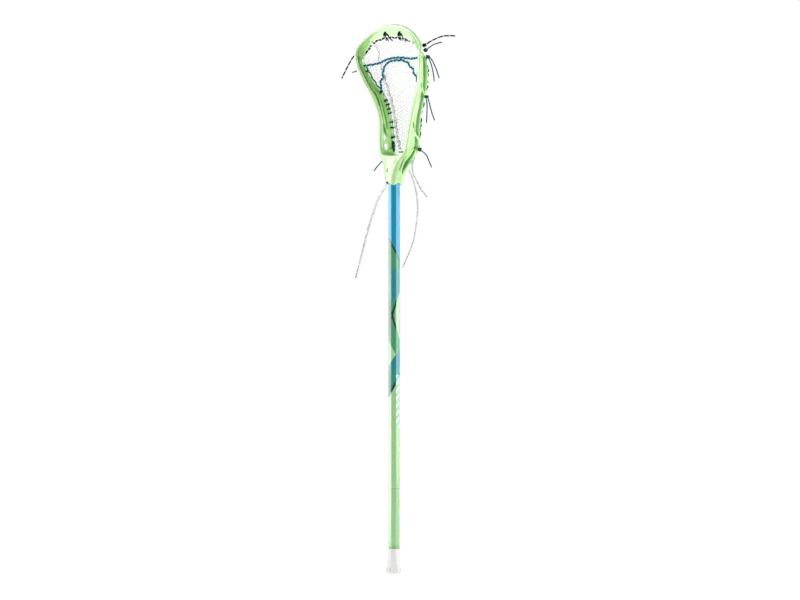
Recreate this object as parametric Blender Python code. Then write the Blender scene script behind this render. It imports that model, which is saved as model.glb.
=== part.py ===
"""A women's-pattern lacrosse stick, strung, standing on its butt end.

Frame: metres, +Z up along the shaft, origin at the centre of the end cap's flat
bottom. The head's open face looks along -Y, and X runs across the head.

The head is one moulding: a ribbon wall swept along the rim, whose front edge is
the front rail and whose back edge is the rail that the pocket hangs from, joined
to a lofted throat with the socket for the shaft. The pocket is a sagging sheet
between the back rails, and the leathers and laces lie on it in layers.
"""

import math

import bmesh
import bpy
from mathutils import Vector

MM = 0.001
GAP = 0.3 * MM  # clearance between neighbouring pieces

# Shaft: an octagonal tube.
SHAFT_FLATS = 21.9 * MM
SHAFT_WALL = 1.5 * MM
SHAFT_BOTTOM = 9 * MM
SHAFT_TOP = 780 * MM
SHAFT_EDGE = 1.1 * MM

# End cap: a rubber sleeve that ends in a bulb.
CAP_TOP = 49 * MM
CAP_FLOOR = 7 * MM
CAP_SLEEVE_RADIUS = 13.4 * MM
CAP_BULB_RADIUS = 17.6 * MM
CAP_FOOT_RADIUS = 8.5 * MM

# Head.
SOCKET_BOTTOM = 757.5 * MM
RIM_STEPS = 76

# Screw at the back of the socket.
SCREW_Z = 769 * MM
SCREW_SHANK_RADIUS = 1.8 * MM
SCREW_HOLE_RADIUS = 2.3 * MM
SCREW_HEAD_RADIUS = 3.6 * MM
SCREW_SEAT_RADIUS = 4.4 * MM
SCREW_SEAT_Y = 13.6 * MM
SCREW_HEAD_HEIGHT = 2.4 * MM
SCREW_TIP_Y = 6.0 * MM
SCREW_SEGMENTS = 20

# Pocket and what lies on it, each layer in front of the one before.
POCKET_BOTTOM = 821 * MM
POCKET_TOP = 1037.0 * MM
POCKET_HALF = 1.0 * MM
LEATHER_WIDTH = 5.0 * MM
LEATHER_HALF = 1.1 * MM
LEATHER_LAYER = 2.8 * MM
LEATHER_STATIONS = 24
LACE_RADIUS = 1.4 * MM
LACE_LAYER = 5.8 * MM
STRING_RADIUS = 1.2 * MM
TOP_STRING_RADIUS = 1.3 * MM
TOP_STRING_RIGHT_Z = 1018 * MM
TOP_STRING_LEFT_Z = 1002 * MM
STRING_BOTTOM_Z = 832 * MM
TAIL_RADIUS = 1.15 * MM
LEATHER_TAIL_RADIUS = 2.2 * MM
KNOT_RADIUS = 3.3 * MM

# Right half of the rim from the throat up to the tip, in millimetres: the front
# rail's outer edge, then the back rail's outer edge.
RIM_STATIONS = (
    ((33.0, -6.2, 811.0), (29.6, 23.0, 811.0)),
    ((41.2, -4.8, 823.0), (34.6, 26.4, 823.0)),
    ((45.9, -3.5, 842.4), (38.5, 28.5, 842.4)),
    ((51.1, 0.4, 885.3), (44.3, 26.5, 885.3)),
    ((67.6, -1.6, 924.3), (54.9, 24.7, 924.3)),
    ((90.6, -11.8, 963.3), (81.2, 12.0, 963.3)),
    ((98.5, -16.8, 1002.3), (94.5, -1.4, 1002.3)),
    ((94.0, -8.3, 1031.6), (83.5, 0.6, 1019.0)),
    ((70.9, -2.4, 1051.0), (63.5, 0.2, 1034.5)),
    ((51.4, 0.8, 1060.8), (45.5, 0.0, 1041.2)),
    ((27.0, 2.2, 1068.8), (24.0, 0.0, 1045.4)),
)
RIM_TIP = ((0.0, 3.0, 1071.8), (0.0, 0.0, 1046.6))

# The wall's section: share of the way from the front edge to the back edge, and
# depth below the outer skin in millimetres. Two rails with a thinner web between.
RIM_SECTION = (
    (0.00, 0.8),
    (0.06, 0.0),
    (0.20, 0.0),
    (0.34, 1.7),
    (0.66, 1.7),
    (0.80, 0.2),
    (0.94, 0.2),
    (1.00, 0.9),
    (1.00, 4.2),
    (0.92, 4.9),
    (0.50, 4.8),
    (0.08, 5.8),
    (0.00, 5.0),
)

# Throat sections in millimetres: height, front half-width and depth, back
# half-width and depth, and the length cut off each corner.
THROAT_SECTIONS = (
    (757.5, 13.6, -13.6, 13.6, 13.6, 7.9),
    (763.0, 14.1, -13.9, 14.1, 14.1, 8.1),
    (769.0, 15.4, -14.3, 15.4, 15.3, 8.4),
    (776.0, 17.0, -13.6, 17.0, 15.8, 7.0),
    (785.0, 19.0, -13.0, 20.0, 17.0, 5.8),
    (794.0, 21.5, -12.0, 23.5, 18.5, 4.8),
    (803.0, 26.0, -10.6, 27.2, 21.6, 4.2),
    (812.0, 35.0, -8.8, 31.4, 25.0, 3.8),
    (820.0, 40.2, -6.4, 33.8, 26.2, 3.4),
    (829.0, 42.6, -3.8, 34.8, 27.0, 3.0),
)

# The U under the mouth: half-width of the opening at each height.
MOUTH_OUTLINE = ((15.0, 816.0), (24.0, 817.6), (29.6, 822.0), (32.6, 829.0), (33.0, 835.0))

# Hollow throat above the shaft, with a window in front and a slot on each side.
CAVITY_SECTIONS = (
    (780.5, 8.5, -8.6, 8.5, 9.0, 3.0),
    (795.0, 16.0, -8.4, 18.0, 14.0, 3.0),
    (808.0, 22.0, -7.0, 22.0, 18.0, 3.0),
)
FRONT_WINDOW = ((0.6, 784.0), (5.4, 797.5), (-5.4, 797.5))
SIDE_SLOT = ((4.5, 782.5), (10.6, 790.0), (17.2, 807.0), (10.0, 801.0), (4.4, 791.0))

# Windows through the sidewalls: place along the rim's height, length, share of
# the wall's depth and half-width as a share of the depth.
WALL_WINDOWS = (
    (888.0, 30.0, 0.52, 0.13),
    (852.0, 15.0, 0.50, 0.13),
    (834.5, 8.0, 0.52, 0.12),
)

# Half-width, edge depth and sag of the pocket are read off the rim; this is the
# sag at the centre line by height, in millimetres.
POCKET_SAG = (
    (821.0, 3.0),
    (835.0, 8.0),
    (860.0, 13.0),
    (890.0, 15.0),
    (920.0, 16.0),
    (960.0, 17.0),
    (1000.0, 13.0),
    (1025.0, 5.0),
    (1041.0, 0.5),
)

# Clear width between the pocket's edge and the wall's outer skin, by height.
POCKET_INSET = ((1015.0, 6.8), (1028.0, 9.5), (1037.0, 16.0))

# Routes on the pocket: across and up, in millimetres.
LEATHER_ROUTE = (
    (49.0, 1031.0),
    (50.3, 1013.0),
    (52.0, 997.0),
    (52.8, 980.0),
    (51.0, 965.0),
    (49.2, 953.0),
    (46.0, 935.0),
    (40.2, 914.0),
    (35.8, 899.0),
    (33.0, 886.0),
    (29.8, 867.0),
    (26.4, 849.0),
    (21.5, 837.0),
    (15.7, 827.0),
)
UPPER_LACE_ROUTE = (
    (-86.0, 993.0),
    (-66.0, 995.7),
    (-48.0, 998.8),
    (-28.0, 1004.8),
    (-10.0, 1007.4),
    (10.0, 1008.4),
    (28.0, 1007.6),
    (48.0, 1006.0),
    (66.0, 1006.4),
    (86.0, 1006.8),
)
LOWER_LACE_ROUTE = (
    (-60.0, 943.0),
    (-61.0, 959.0),
    (-52.0, 971.0),
    (-47.0, 983.0),
    (-38.0, 992.0),
    (-27.0, 998.0),
    (-11.0, 1001.0),
    (6.0, 1001.8),
    (21.0, 1001.2),
    (33.0, 996.8),
    (42.0, 989.0),
    (47.0, 978.0),
    (50.0, 965.0),
    (54.0, 952.0),
    (60.0, 940.0),
)

# Knots outside the sidewalls, in millimetres.
KNOTS = {
    "top_knot_right": (93.4, -1.4, 1030.4),
    "scoop_knot_right": (96.4, -1.2, 1020.8),
    "shooting_knot_right": (100.0, 1.4, 1007.6),
    "sidewall_knot_right": (64.5, 27.8, 930.2),
    "throat_knot_right": (40.6, 31.0, 827.8),
    "top_knot_left": (-96.4, -1.2, 1019.0),
    "shooting_knot_left": (-100.0, 1.6, 993.0),
    "throat_knot_left": (-40.6, 31.0, 827.8),
}

# Free ends, in millimetres, each from just outside its knot or hole to its tip.
TAILS = {
    "top_tail_right": (
        (95.5, 1.0, 1032.3),
        (105.3, 11.9, 1040.9),
        (114.7, 26.2, 1047.7),
        (122.3, 36.9, 1048.7),
        (129.3, 48.3, 1048.5),
    ),
    "top_tail_left": (
        (-99.5, -3.3, 1018.4),
        (-106.0, -7.6, 1014.5),
        (-113.7, -11.0, 1007.2),
        (-123.3, -16.2, 989.2),
        (-132.7, -22.8, 966.8),
    ),
    "scoop_tail_right": (
        (98.7, 1.1, 1023.0),
        (107.6, 10.0, 1031.5),
        (113.9, 15.9, 1034.3),
        (120.0, 21.7, 1036.2),
    ),
    "shooting_tail_right_1": (
        (101.3, 3.1, 1004.4),
        (104.8, 6.7, 991.2),
        (107.6, 8.9, 976.0),
        (108.9, 10.4, 959.6),
    ),
    "shooting_tail_right_2": (
        (104.0, 3.8, 1006.6),
        (108.4, 8.0, 997.0),
        (113.4, 12.8, 981.0),
        (117.4, 15.7, 965.8),
    ),
    "sidewall_tail_right_1": (
        (64.8, 27.8, 926.3),
        (66.4, 27.8, 912.6),
        (66.4, 27.6, 899.7),
        (65.8, 27.0, 879.4),
    ),
    "sidewall_tail_right_2": (
        (67.4, 29.2, 928.0),
        (70.8, 31.2, 914.0),
        (73.8, 33.6, 899.7),
        (78.1, 37.1, 883.9),
    ),
    "throat_tail_right": (
        (43.1, 33.1, 825.4),
        (50.1, 39.4, 817.4),
        (54.1, 42.9, 805.2),
        (57.7, 47.0, 792.7),
    ),
    "shooting_tail_left": (
        (-103.2, 3.2, 991.6),
        (-109.0, 6.4, 987.0),
        (-114.0, 1.5, 982.4),
        (-113.2, -8.0, 979.8),
        (-109.5, -14.6, 979.0),
    ),
    "throat_tail_left": (
        (-41.9, 29.2, 824.6),
        (-46.6, 20.6, 813.6),
        (-51.2, 10.6, 804.0),
        (-55.8, 3.2, 794.6),
        (-59.2, -2.0, 786.0),
    ),
    "leather_tail_left": (
        (-17.2, -6.4, 760.0),
        (-21.6, -10.2, 747.0),
        (-30.2, -16.6, 727.4),
        (-41.6, -23.9, 690.5),
        (-49.8, -28.2, 661.0),
        (-58.8, -33.4, 620.7),
        (-69.2, -38.9, 576.2),
    ),
    "leather_tail_right": (
        (20.6, 21.0, 789.4),
        (24.0, 24.8, 776.9),
        (28.2, 28.5, 760.5),
        (31.9, 31.9, 737.1),
        (32.8, 32.8, 701.4),
        (28.6, 28.0, 654.8),
        (22.0, 21.6, 627.5),
        (13.2, 12.6, 597.5),
    ),
    "leather_end_right": (
        (33.0, 26.6, 814.1),
        (31.2, 22.2, 804.4),
        (31.2, 20.8, 794.0),
        (32.4, 21.8, 782.7),
        (35.8, 25.4, 771.5),
        (42.4, 32.1, 752.8),
        (51.8, 41.5, 735.7),
    ),
}
TAIL_RADII = {
    "top_tail_right": TOP_STRING_RADIUS,
    "top_tail_left": TOP_STRING_RADIUS,
    "leather_tail_left": LEATHER_TAIL_RADIUS,
    "leather_tail_right": LEATHER_TAIL_RADIUS,
    "leather_end_right": LEATHER_TAIL_RADIUS,
}

# Colour, roughness and metallic value of each finish.
FINISHES = {
    "head_plastic": ((0.62, 0.94, 0.50), 0.32, 0.0),
    "shaft_paint": ((0.30, 0.62, 0.45), 0.28, 0.6),
    "cap_rubber": ((0.90, 0.91, 0.88), 0.60, 0.0),
    "screw_steel": ((0.70, 0.70, 0.72), 0.30, 1.0),
    "pocket_mesh": ((0.92, 0.92, 0.92), 0.80, 0.0),
    "leather": ((0.90, 0.90, 0.88), 0.70, 0.0),
    "top_string": ((0.05, 0.05, 0.05), 0.75, 0.0),
    "teal_string": ((0.03, 0.33, 0.42), 0.75, 0.0),
}


def clear_scene():
    """Remove whatever the file holds."""
    for obj in list(bpy.data.objects):
        bpy.data.objects.remove(obj, do_unlink=True)


def finish(name):
    """A new Principled material of one finish."""
    colour, roughness, metallic = FINISHES[name]
    material = bpy.data.materials.new(name)
    material.use_nodes = True
    shader = material.node_tree.nodes["Principled BSDF"]
    shader.inputs["Base Color"].default_value = (*colour, 1.0)
    shader.inputs["Roughness"].default_value = roughness
    shader.inputs["Metallic"].default_value = metallic
    return material


def add_object(name, data, finish_name=None):
    """Link an object that holds the data, with its own material."""
    obj = bpy.data.objects.new(name, data)
    bpy.context.scene.collection.objects.link(obj)
    if finish_name:
        data.materials.append(finish(finish_name))
    return obj


def mesh_object(name, vertices, faces, finish_name=None, smooth_angle=None):
    """An object from vertices and faces, with its faces turned outwards."""
    mesh = bpy.data.meshes.new(name)
    mesh.from_pydata([tuple(v) for v in vertices], [], faces)
    work = bmesh.new()
    work.from_mesh(mesh)
    bmesh.ops.recalc_face_normals(work, faces=work.faces)
    work.to_mesh(mesh)
    work.free()
    if smooth_angle is not None:
        mesh.shade_smooth()
        mesh.set_sharp_from_angle(angle=smooth_angle)
    return add_object(name, mesh, finish_name)


def loft(name, rings, finish_name=None, closed=False, smooth_angle=None):
    """Skin rings of equal length, one after another, capped unless closed."""
    count = len(rings[0])
    vertices = [v for ring in rings for v in ring]
    faces = []
    spans = len(rings) if closed else len(rings) - 1
    for i in range(spans):
        a = i * count
        b = (i + 1) % len(rings) * count
        for j in range(count):
            k = (j + 1) % count
            faces.append((a + j, a + k, b + k, b + j))
    if not closed:
        faces.append(tuple(range(count)))
        last = (len(rings) - 1) * count
        faces.append(tuple(range(last, last + count)))
    return mesh_object(name, vertices, faces, finish_name, smooth_angle)


def cut(target, cutter):
    """Subtract a cutter, which stays in the scene as a hidden guide."""
    cutter.hide_render = True
    cutter.display_type = "WIRE"
    add_boolean(target, cutter, "DIFFERENCE")


def add_boolean(target, other, operation):
    """A live Boolean modifier with the exact solver."""
    modifier = target.modifiers.new(f"{operation.lower()}_{other.name}", "BOOLEAN")
    modifier.operation = operation
    modifier.solver = "EXACT"
    modifier.object = other


def join_with(target, other):
    """Union another solid into the target, and keep the other as a guide."""
    other.hide_render = True
    other.display_type = "WIRE"
    add_boolean(target, other, "UNION")


def spline_points(control, count):
    """Points on a smooth curve through the control points, evenly by length."""
    control = [Vector(c) for c in control]
    ends = [control[0] * 2 - control[1]] + control + [control[-1] * 2 - control[-2]]
    dense = []
    steps = 12
    for i in range(1, len(ends) - 2):
        p0, p1, p2, p3 = ends[i - 1], ends[i], ends[i + 1], ends[i + 2]
        for s in range(steps):
            t = s / steps
            dense.append(
                0.5
                * (
                    p1 * 2
                    + (p2 - p0) * t
                    + (p0 * 2 - p1 * 5 + p2 * 4 - p3) * t * t
                    + (p1 * 3 - p0 - p2 * 3 + p3) * t * t * t
                )
            )
    dense.append(control[-1])
    along = [0.0]
    for a, b in zip(dense, dense[1:]):
        along.append(along[-1] + (b - a).length)
    points = []
    i = 0
    for n in range(count):
        at = along[-1] * n / (count - 1)
        while i < len(along) - 2 and along[i + 1] < at:
            i += 1
        share = (at - along[i]) / (along[i + 1] - along[i])
        points.append(dense[i].lerp(dense[i + 1], min(1.0, share)))
    return points


def smooth_table(rows):
    """A smooth function through (place, value) rows, flat beyond both ends."""
    slopes = []
    for i in range(len(rows)):
        (x0, y0), (x1, y1) = rows[max(0, i - 1)], rows[min(len(rows) - 1, i + 1)]
        slopes.append((y1 - y0) / (x1 - x0))

    def value(at):
        at = min(max(at, rows[0][0]), rows[-1][0])
        i = 0
        while i < len(rows) - 2 and at > rows[i + 1][0]:
            i += 1
        (x0, y0), (x1, y1) = rows[i], rows[i + 1]
        span = x1 - x0
        t = (at - x0) / span
        start = y0 * (1 + 2 * t) * (1 - t) ** 2 + y1 * t * t * (3 - 2 * t)
        return start + span * t * (1 - t) * (slopes[i] * (1 - t) - slopes[i + 1] * t)

    return value


def tube(name, points, radius, finish_name, resolution=2):
    """A round cord along points, with filled ends."""
    curve = bpy.data.curves.new(name, "CURVE")
    curve.dimensions = "3D"
    curve.bevel_depth = radius
    curve.bevel_resolution = resolution
    curve.resolution_u = 1
    curve.render_resolution_u = 0
    curve.use_fill_caps = True
    spline = curve.splines.new("POLY")
    spline.points.add(len(points) - 1)
    for target, point in zip(spline.points, points):
        target.co = (*point, 1.0)
    return add_object(name, curve, finish_name)


def octagon(half, z, edge=0.0):
    """A ring of a regular octagon with flats on the axes, its corners cut by edge."""
    radius = half / math.cos(math.pi / 8)
    corners = []
    for corner in range(8):
        angle = math.pi / 8 + corner * math.pi / 4
        corners.append(Vector((radius * math.cos(angle), radius * math.sin(angle), z)))
    if not edge:
        return corners
    ring = []
    for i, corner in enumerate(corners):
        for neighbour in (corners[i - 1], corners[(i + 1) % 8]):
            ring.append(corner + (neighbour - corner).normalized() * edge)
    return ring


def chamfered_ring(section):
    """A throat section: a trapezoid with cut corners, in metres."""
    z, front_half, front_y, back_half, back_y, corner = (v * MM for v in section)
    return [
        Vector(p)
        for p in (
            (-front_half + corner, front_y, z),
            (front_half - corner, front_y, z),
            (front_half, front_y + corner, z),
            (back_half, back_y - corner, z),
            (back_half - corner, back_y, z),
            (-back_half + corner, back_y, z),
            (-back_half, back_y - corner, z),
            (-front_half, front_y + corner, z),
        )
    ]


def turned(name, profile, segments, finish_name=None, smooth_angle=None):
    """A solid of revolution about Z from a (radius, z) profile, top to bottom."""
    vertices = [Vector((0, 0, profile[0][1]))]
    for radius, z in profile:
        for s in range(segments):
            angle = 2 * math.pi * s / segments
            vertices.append(Vector((radius * math.cos(angle), radius * math.sin(angle), z)))
    vertices.append(Vector((0, 0, profile[-1][1])))
    faces = []
    for s in range(segments):
        t = (s + 1) % segments
        faces.append((0, 1 + s, 1 + t))
        for r in range(len(profile) - 1):
            a = 1 + r * segments
            faces.append((a + s, a + segments + s, a + segments + t, a + t))
        last = 1 + (len(profile) - 1) * segments
        faces.append((last + t, last + s, len(vertices) - 1))
    return mesh_object(name, vertices, faces, finish_name, smooth_angle)


def prism(name, outline, axis, low, high):
    """Extrude a 2-D outline in metres along X or Y."""
    rings = []
    for depth in (low, high):
        if axis == "Y":
            rings.append([Vector((a, depth, b)) for a, b in outline])
        else:
            rings.append([Vector((depth, a, b)) for a, b in outline])
    return loft(name, rings)


def rim_path():
    """Front edge, back edge and outward normal at each step round the rim."""
    right = [(Vector(p) * MM, Vector(q) * MM) for p, q in RIM_STATIONS]
    tip = tuple(Vector(v) * MM for v in RIM_TIP)
    left = [(mirrored(p), mirrored(q)) for p, q in reversed(right)]
    stations = right + [tip] + left
    front = spline_points([s[0] for s in stations], RIM_STEPS + 1)
    back = matched_points([s[0] for s in stations], [s[1] for s in stations], front)
    path = []
    for i, (p, q) in enumerate(zip(front, back)):
        before = max(0, i - 1)
        after = min(len(front) - 1, i + 1)
        tangent = front[after] + back[after] - front[before] - back[before]
        path.append((p, q, (q - p).cross(tangent).normalized()))
    return path


def matched_points(front_control, back_control, front):
    """The back edge's points that face the front edge's points."""
    dense_front = spline_points(front_control, 600)
    back_dense = paired_spline(back_control, front_control, dense_front)
    matched = []
    i = 0
    for p in front:
        while i < len(dense_front) - 1 and (dense_front[i + 1] - p).length <= (
            dense_front[i] - p
        ).length:
            i += 1
        matched.append(back_dense[i])
    return matched


def paired_spline(back_control, front_control, dense_front):
    """The back edge at the same shares of the way between stations as the front."""
    marks = []
    i = 0
    for c in front_control:
        best = min(range(i, len(dense_front)), key=lambda k: (dense_front[k] - c).length)
        marks.append(best)
        i = best
    ends = [back_control[0] * 2 - back_control[1]] + list(back_control)
    ends.append(back_control[-1] * 2 - back_control[-2])
    result = []
    span = 0
    for k in range(len(dense_front)):
        while span < len(marks) - 2 and k >= marks[span + 1]:
            span += 1
        t = (k - marks[span]) / (marks[span + 1] - marks[span])
        p0, p1, p2, p3 = ends[span], ends[span + 1], ends[span + 2], ends[span + 3]
        result.append(
            0.5
            * (
                p1 * 2
                + (p2 - p0) * t
                + (p0 * 2 - p1 * 5 + p2 * 4 - p3) * t * t
                + (p1 * 3 - p0 - p2 * 3 + p3) * t * t * t
            )
        )
    return result


def mirrored(point):
    """The point on the other side of the head's middle plane."""
    return Vector((-point.x, point.y, point.z))


def rim_section(p, q, outward):
    """The ring of the wall's section between its two edges."""
    return [p.lerp(q, share) - outward * depth * MM for share, depth in RIM_SECTION]


def window_cutters(path):
    """A slanted bar through both sidewalls' webs for each window."""
    cutters = []
    half = len(path) // 2
    for number, (height, length, share, half_share) in enumerate(WALL_WINDOWS):
        for side, steps in (("right", path[:half]), ("left", path[half + 1 :])):
            p, q, outward = min(steps, key=lambda s: abs(s[0].z - height * MM))
            middle = p.lerp(q, share)
            across = (q - p) * half_share
            up = outward.cross(across).normalized() * length * MM / 2
            if up.z < 0:
                up = -up
            outline = (
                middle - up,
                middle - up * 0.4 + across,
                middle + up * 0.4 + across * 0.9,
                middle + up,
                middle + up * 0.4 - across,
                middle - up * 0.4 - across * 0.9,
            )
            rings = [[v + outward * d for v in outline] for d in (-14 * MM, 8 * MM)]
            cutters.append(loft(f"window_{side}_{number}", rings))
    return cutters


def make_head(path):
    """The moulded head with its socket, windows and screw hole."""
    rings = [rim_section(*step) for step in path]
    head = loft("head", rings, "head_plastic", smooth_angle=math.radians(40))
    join_with(head, loft("throat_body", [chamfered_ring(s) for s in THROAT_SECTIONS]))

    mouth = [(x * MM, z * MM) for x, z in MOUTH_OUTLINE]
    outline = mouth + [(-x, z) for x, z in reversed(mouth)]
    cut(head, prism("mouth_cut", outline, "Y", -40 * MM, 60 * MM))
    socket_half = SHAFT_FLATS / 2 + GAP
    socket = [octagon(socket_half, z) for z in (SOCKET_BOTTOM - 5 * MM, SHAFT_TOP + GAP)]
    cut(head, loft("socket_cut", socket))
    cut(head, loft("cavity_cut", [chamfered_ring(s) for s in CAVITY_SECTIONS]))
    window = [(x * MM, z * MM) for x, z in FRONT_WINDOW]
    cut(head, prism("front_window_cut", window, "Y", -20 * MM, -2 * MM))
    slot = [(y * MM, z * MM) for y, z in SIDE_SLOT]
    cut(head, prism("side_slot_cut", slot, "X", -50 * MM, 50 * MM))
    for cutter in window_cutters(path):
        cut(head, cutter)
    cut(head, screw_hole("head_screw_hole", SCREW_HOLE_RADIUS, 8 * MM, 30 * MM))
    cut(head, screw_hole("head_screw_seat", SCREW_SEAT_RADIUS, SCREW_SEAT_Y, 30 * MM))
    return head


def screw_hole(name, radius, low, high):
    """A round cutter along Y at the screw."""
    rings = []
    for y in (low, high):
        ring = []
        for s in range(SCREW_SEGMENTS):
            angle = 2 * math.pi * s / SCREW_SEGMENTS
            ring.append(
                Vector((radius * math.cos(angle), y, SCREW_Z + radius * math.sin(angle)))
            )
        rings.append(ring)
    return loft(name, rings)


def make_shaft():
    """The octagonal tube with the screw's hole in its back wall."""
    half = SHAFT_FLATS / 2
    rings = [octagon(half, z, SHAFT_EDGE) for z in (SHAFT_BOTTOM, SHAFT_TOP)]
    shaft = loft("shaft", rings, "shaft_paint", smooth_angle=math.radians(10))
    bore = [octagon(half - SHAFT_WALL, z) for z in (SHAFT_BOTTOM - MM, SHAFT_TOP + MM)]
    cut(shaft, loft("shaft_bore", bore))
    cut(shaft, screw_hole("shaft_screw_hole", SCREW_HOLE_RADIUS, 4 * MM, 20 * MM))
    return shaft


def make_end_cap():
    """The rubber cap: a sleeve with a bead, and a bulb with a flat foot."""
    profile = (
        (CAP_SLEEVE_RADIUS - 1.0 * MM, CAP_TOP),
        (CAP_SLEEVE_RADIUS, CAP_TOP - 1.2 * MM),
        (CAP_SLEEVE_RADIUS, 25 * MM),
        (CAP_SLEEVE_RADIUS + 0.9 * MM, 24 * MM),
        (CAP_SLEEVE_RADIUS + 0.9 * MM, 21.6 * MM),
        (CAP_SLEEVE_RADIUS + 0.5 * MM, 20.6 * MM),
        (CAP_SLEEVE_RADIUS + 2.2 * MM, 15 * MM),
        (CAP_BULB_RADIUS, 9 * MM),
        (CAP_BULB_RADIUS, 6 * MM),
        (CAP_BULB_RADIUS - 2.4 * MM, 2.6 * MM),
        (CAP_FOOT_RADIUS + 2.6 * MM, 0.5 * MM),
        (CAP_FOOT_RADIUS, 0.0),
    )
    cap = turned("end_cap", profile, 40, "cap_rubber", math.radians(35))
    half = SHAFT_FLATS / 2 + GAP
    bore = [octagon(half, z) for z in (CAP_FLOOR, CAP_TOP + 5 * MM)]
    cut(cap, loft("cap_bore", bore))
    return cap


def make_screw():
    """The cross-head screw, its axis along Y."""
    profile = (
        (1.2 * MM, SCREW_SEAT_Y + SCREW_HEAD_HEIGHT),
        (2.6 * MM, SCREW_SEAT_Y + SCREW_HEAD_HEIGHT * 0.86),
        (SCREW_HEAD_RADIUS, SCREW_SEAT_Y + SCREW_HEAD_HEIGHT * 0.35),
        (SCREW_HEAD_RADIUS, SCREW_SEAT_Y + GAP),
        (SCREW_SHANK_RADIUS, SCREW_SEAT_Y + GAP),
        (SCREW_SHANK_RADIUS, SCREW_TIP_Y + MM),
        (SCREW_SHANK_RADIUS - 0.6 * MM, SCREW_TIP_Y),
    )
    screw = turned("head_screw", profile, SCREW_SEGMENTS, "screw_steel", math.radians(35))
    screw.rotation_euler = (-math.pi / 2, 0, 0)
    screw.location = (0, 0, SCREW_Z)
    top = SCREW_SEAT_Y + SCREW_HEAD_HEIGHT
    for turn, name in enumerate(("screw_cross_a", "screw_cross_b")):
        long_side, short_side = (2.0 * MM, 0.45 * MM)[:: 1 if turn == 0 else -1]
        ring = [
            (-long_side, SCREW_Z - short_side),
            (long_side, SCREW_Z - short_side),
            (long_side, SCREW_Z + short_side),
            (-long_side, SCREW_Z + short_side),
        ]
        cut(screw, prism(name, ring, "Y", top - 1.2 * MM, top + 3 * MM))
    return screw


def pocket_edges(path):
    """The pocket's half-width and its edge's depth, as functions of height."""
    half = len(path) // 2 + 1
    rows = sorted((q.z, q.x, q.y) for _, q, _ in path[:half])
    rail = smooth_table([(z, x) for z, x, _ in rows])
    inset = smooth_table([(z * MM, gap * MM) for z, gap in POCKET_INSET])
    depth = smooth_table([(z, y - 3.0 * MM) for z, _, y in rows])
    return lambda z: rail(z) - inset(z), depth


def pocket_surface(path):
    """A function of (x, z, lift): the point that far in front of the pocket."""
    width, depth = pocket_edges(path)
    sag = smooth_table([(z * MM, s * MM) for z, s in POCKET_SAG])

    def height(x, z):
        share = min(1.0, abs(x) / width(z))
        return depth(z) + sag(z) * (1 - share * share)

    def point(x, z, lift=0.0):
        step = 1.5 * MM
        slope_x = (height(x + step, z) - height(x - step, z)) / (2 * step)
        slope_z = (height(x, z + step) - height(x, z - step)) / (2 * step)
        normal = Vector((slope_x, -1.0, slope_z)).normalized()
        return Vector((x, height(x, z), z)) + normal * lift

    return point


def make_pocket(path, surface):
    """The mesh pocket as one sagging sheet with a thickness."""
    width, _ = pocket_edges(path)
    rows = 19
    columns = 12
    grid = []
    for side in (1, -1):
        for r in range(rows + 1):
            z = POCKET_BOTTOM + (POCKET_TOP - POCKET_BOTTOM) * r / rows
            half = width(z)
            for c in range(columns + 1):
                x = half * (2 * c / columns - 1)
                grid.append(surface(x * 0.998, z, side * POCKET_HALF))
    stride = columns + 1
    layer = stride * (rows + 1)
    faces = []
    for r in range(rows):
        for c in range(columns):
            a = r * stride + c
            faces.append((a, a + 1, a + stride + 1, a + stride))
            b = a + layer
            faces.append((b, b + stride, b + stride + 1, b + 1))
    border = list(range(stride))
    border += [r * stride + columns for r in range(1, rows + 1)]
    border += [rows * stride + c for c in range(columns - 1, -1, -1)]
    border += [r * stride for r in range(rows - 1, 0, -1)]
    for a, b in zip(border, border[1:] + border[:1]):
        faces.append((a, a + layer, b + layer, b))
    return mesh_object("pocket_mesh", grid, faces, "pocket_mesh", math.radians(60))


def on_pocket(surface, route, side, lift):
    """Lift a flat route in millimetres onto the pocket."""
    return [surface(side * x * MM, z * MM, lift) for x, z in route]


def make_leather(name, surface, side):
    """A flat strip laid along the pocket."""
    route = on_pocket(surface, LEATHER_ROUTE, side, LEATHER_LAYER)
    centre = spline_points(route, LEATHER_STATIONS)
    rings = []
    for i, point in enumerate(centre):
        along = centre[min(i + 1, LEATHER_STATIONS - 1)] - centre[max(i - 1, 0)]
        base = surface(point.x, point.z)
        normal = (surface(point.x, point.z, MM) - base).normalized()
        across = along.cross(normal).normalized() * LEATHER_WIDTH / 2
        lift = normal * LEATHER_HALF
        rings.append(
            [
                point - across - lift,
                point + across - lift,
                point + across + lift,
                point - across + lift,
            ]
        )
    return loft(name, rings, "leather")


def edge_run(path, start, end, radius):
    """A route just past the wall's back edge, between two steps of the rim."""
    route = []
    for p, q, outward in path[start : end + 1]:
        along = (q - p).normalized()
        route.append(q + along * (radius + 0.6 * MM) - outward * 2.5 * MM)
    return route


def step_at(path, height, side):
    """The rim step whose back edge is nearest a height on one side."""
    half = len(path) // 2
    steps = range(half) if side > 0 else range(half + 1, len(path))
    return min(steps, key=lambda i: abs(path[i][1].z - height))


def make_edge_strings(path):
    """The top string along the scoop and the strings down both sidewalls."""
    top_right = step_at(path, TOP_STRING_RIGHT_Z, 1)
    top_left = step_at(path, TOP_STRING_LEFT_Z, -1)
    low_right = step_at(path, STRING_BOTTOM_Z, 1)
    low_left = step_at(path, STRING_BOTTOM_Z, -1)
    for name, start, end, radius, count, colour in (
        ("top_string", top_right, top_left, TOP_STRING_RADIUS, 46, "top_string"),
        ("sidewall_string_right", low_right, top_right - 1, STRING_RADIUS, 36, "teal_string"),
        ("sidewall_string_left", top_left + 1, low_left, STRING_RADIUS, 34, "teal_string"),
    ):
        points = spline_points(edge_run(path, start, end, radius), count)
        tube(name, points, radius, colour)


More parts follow.
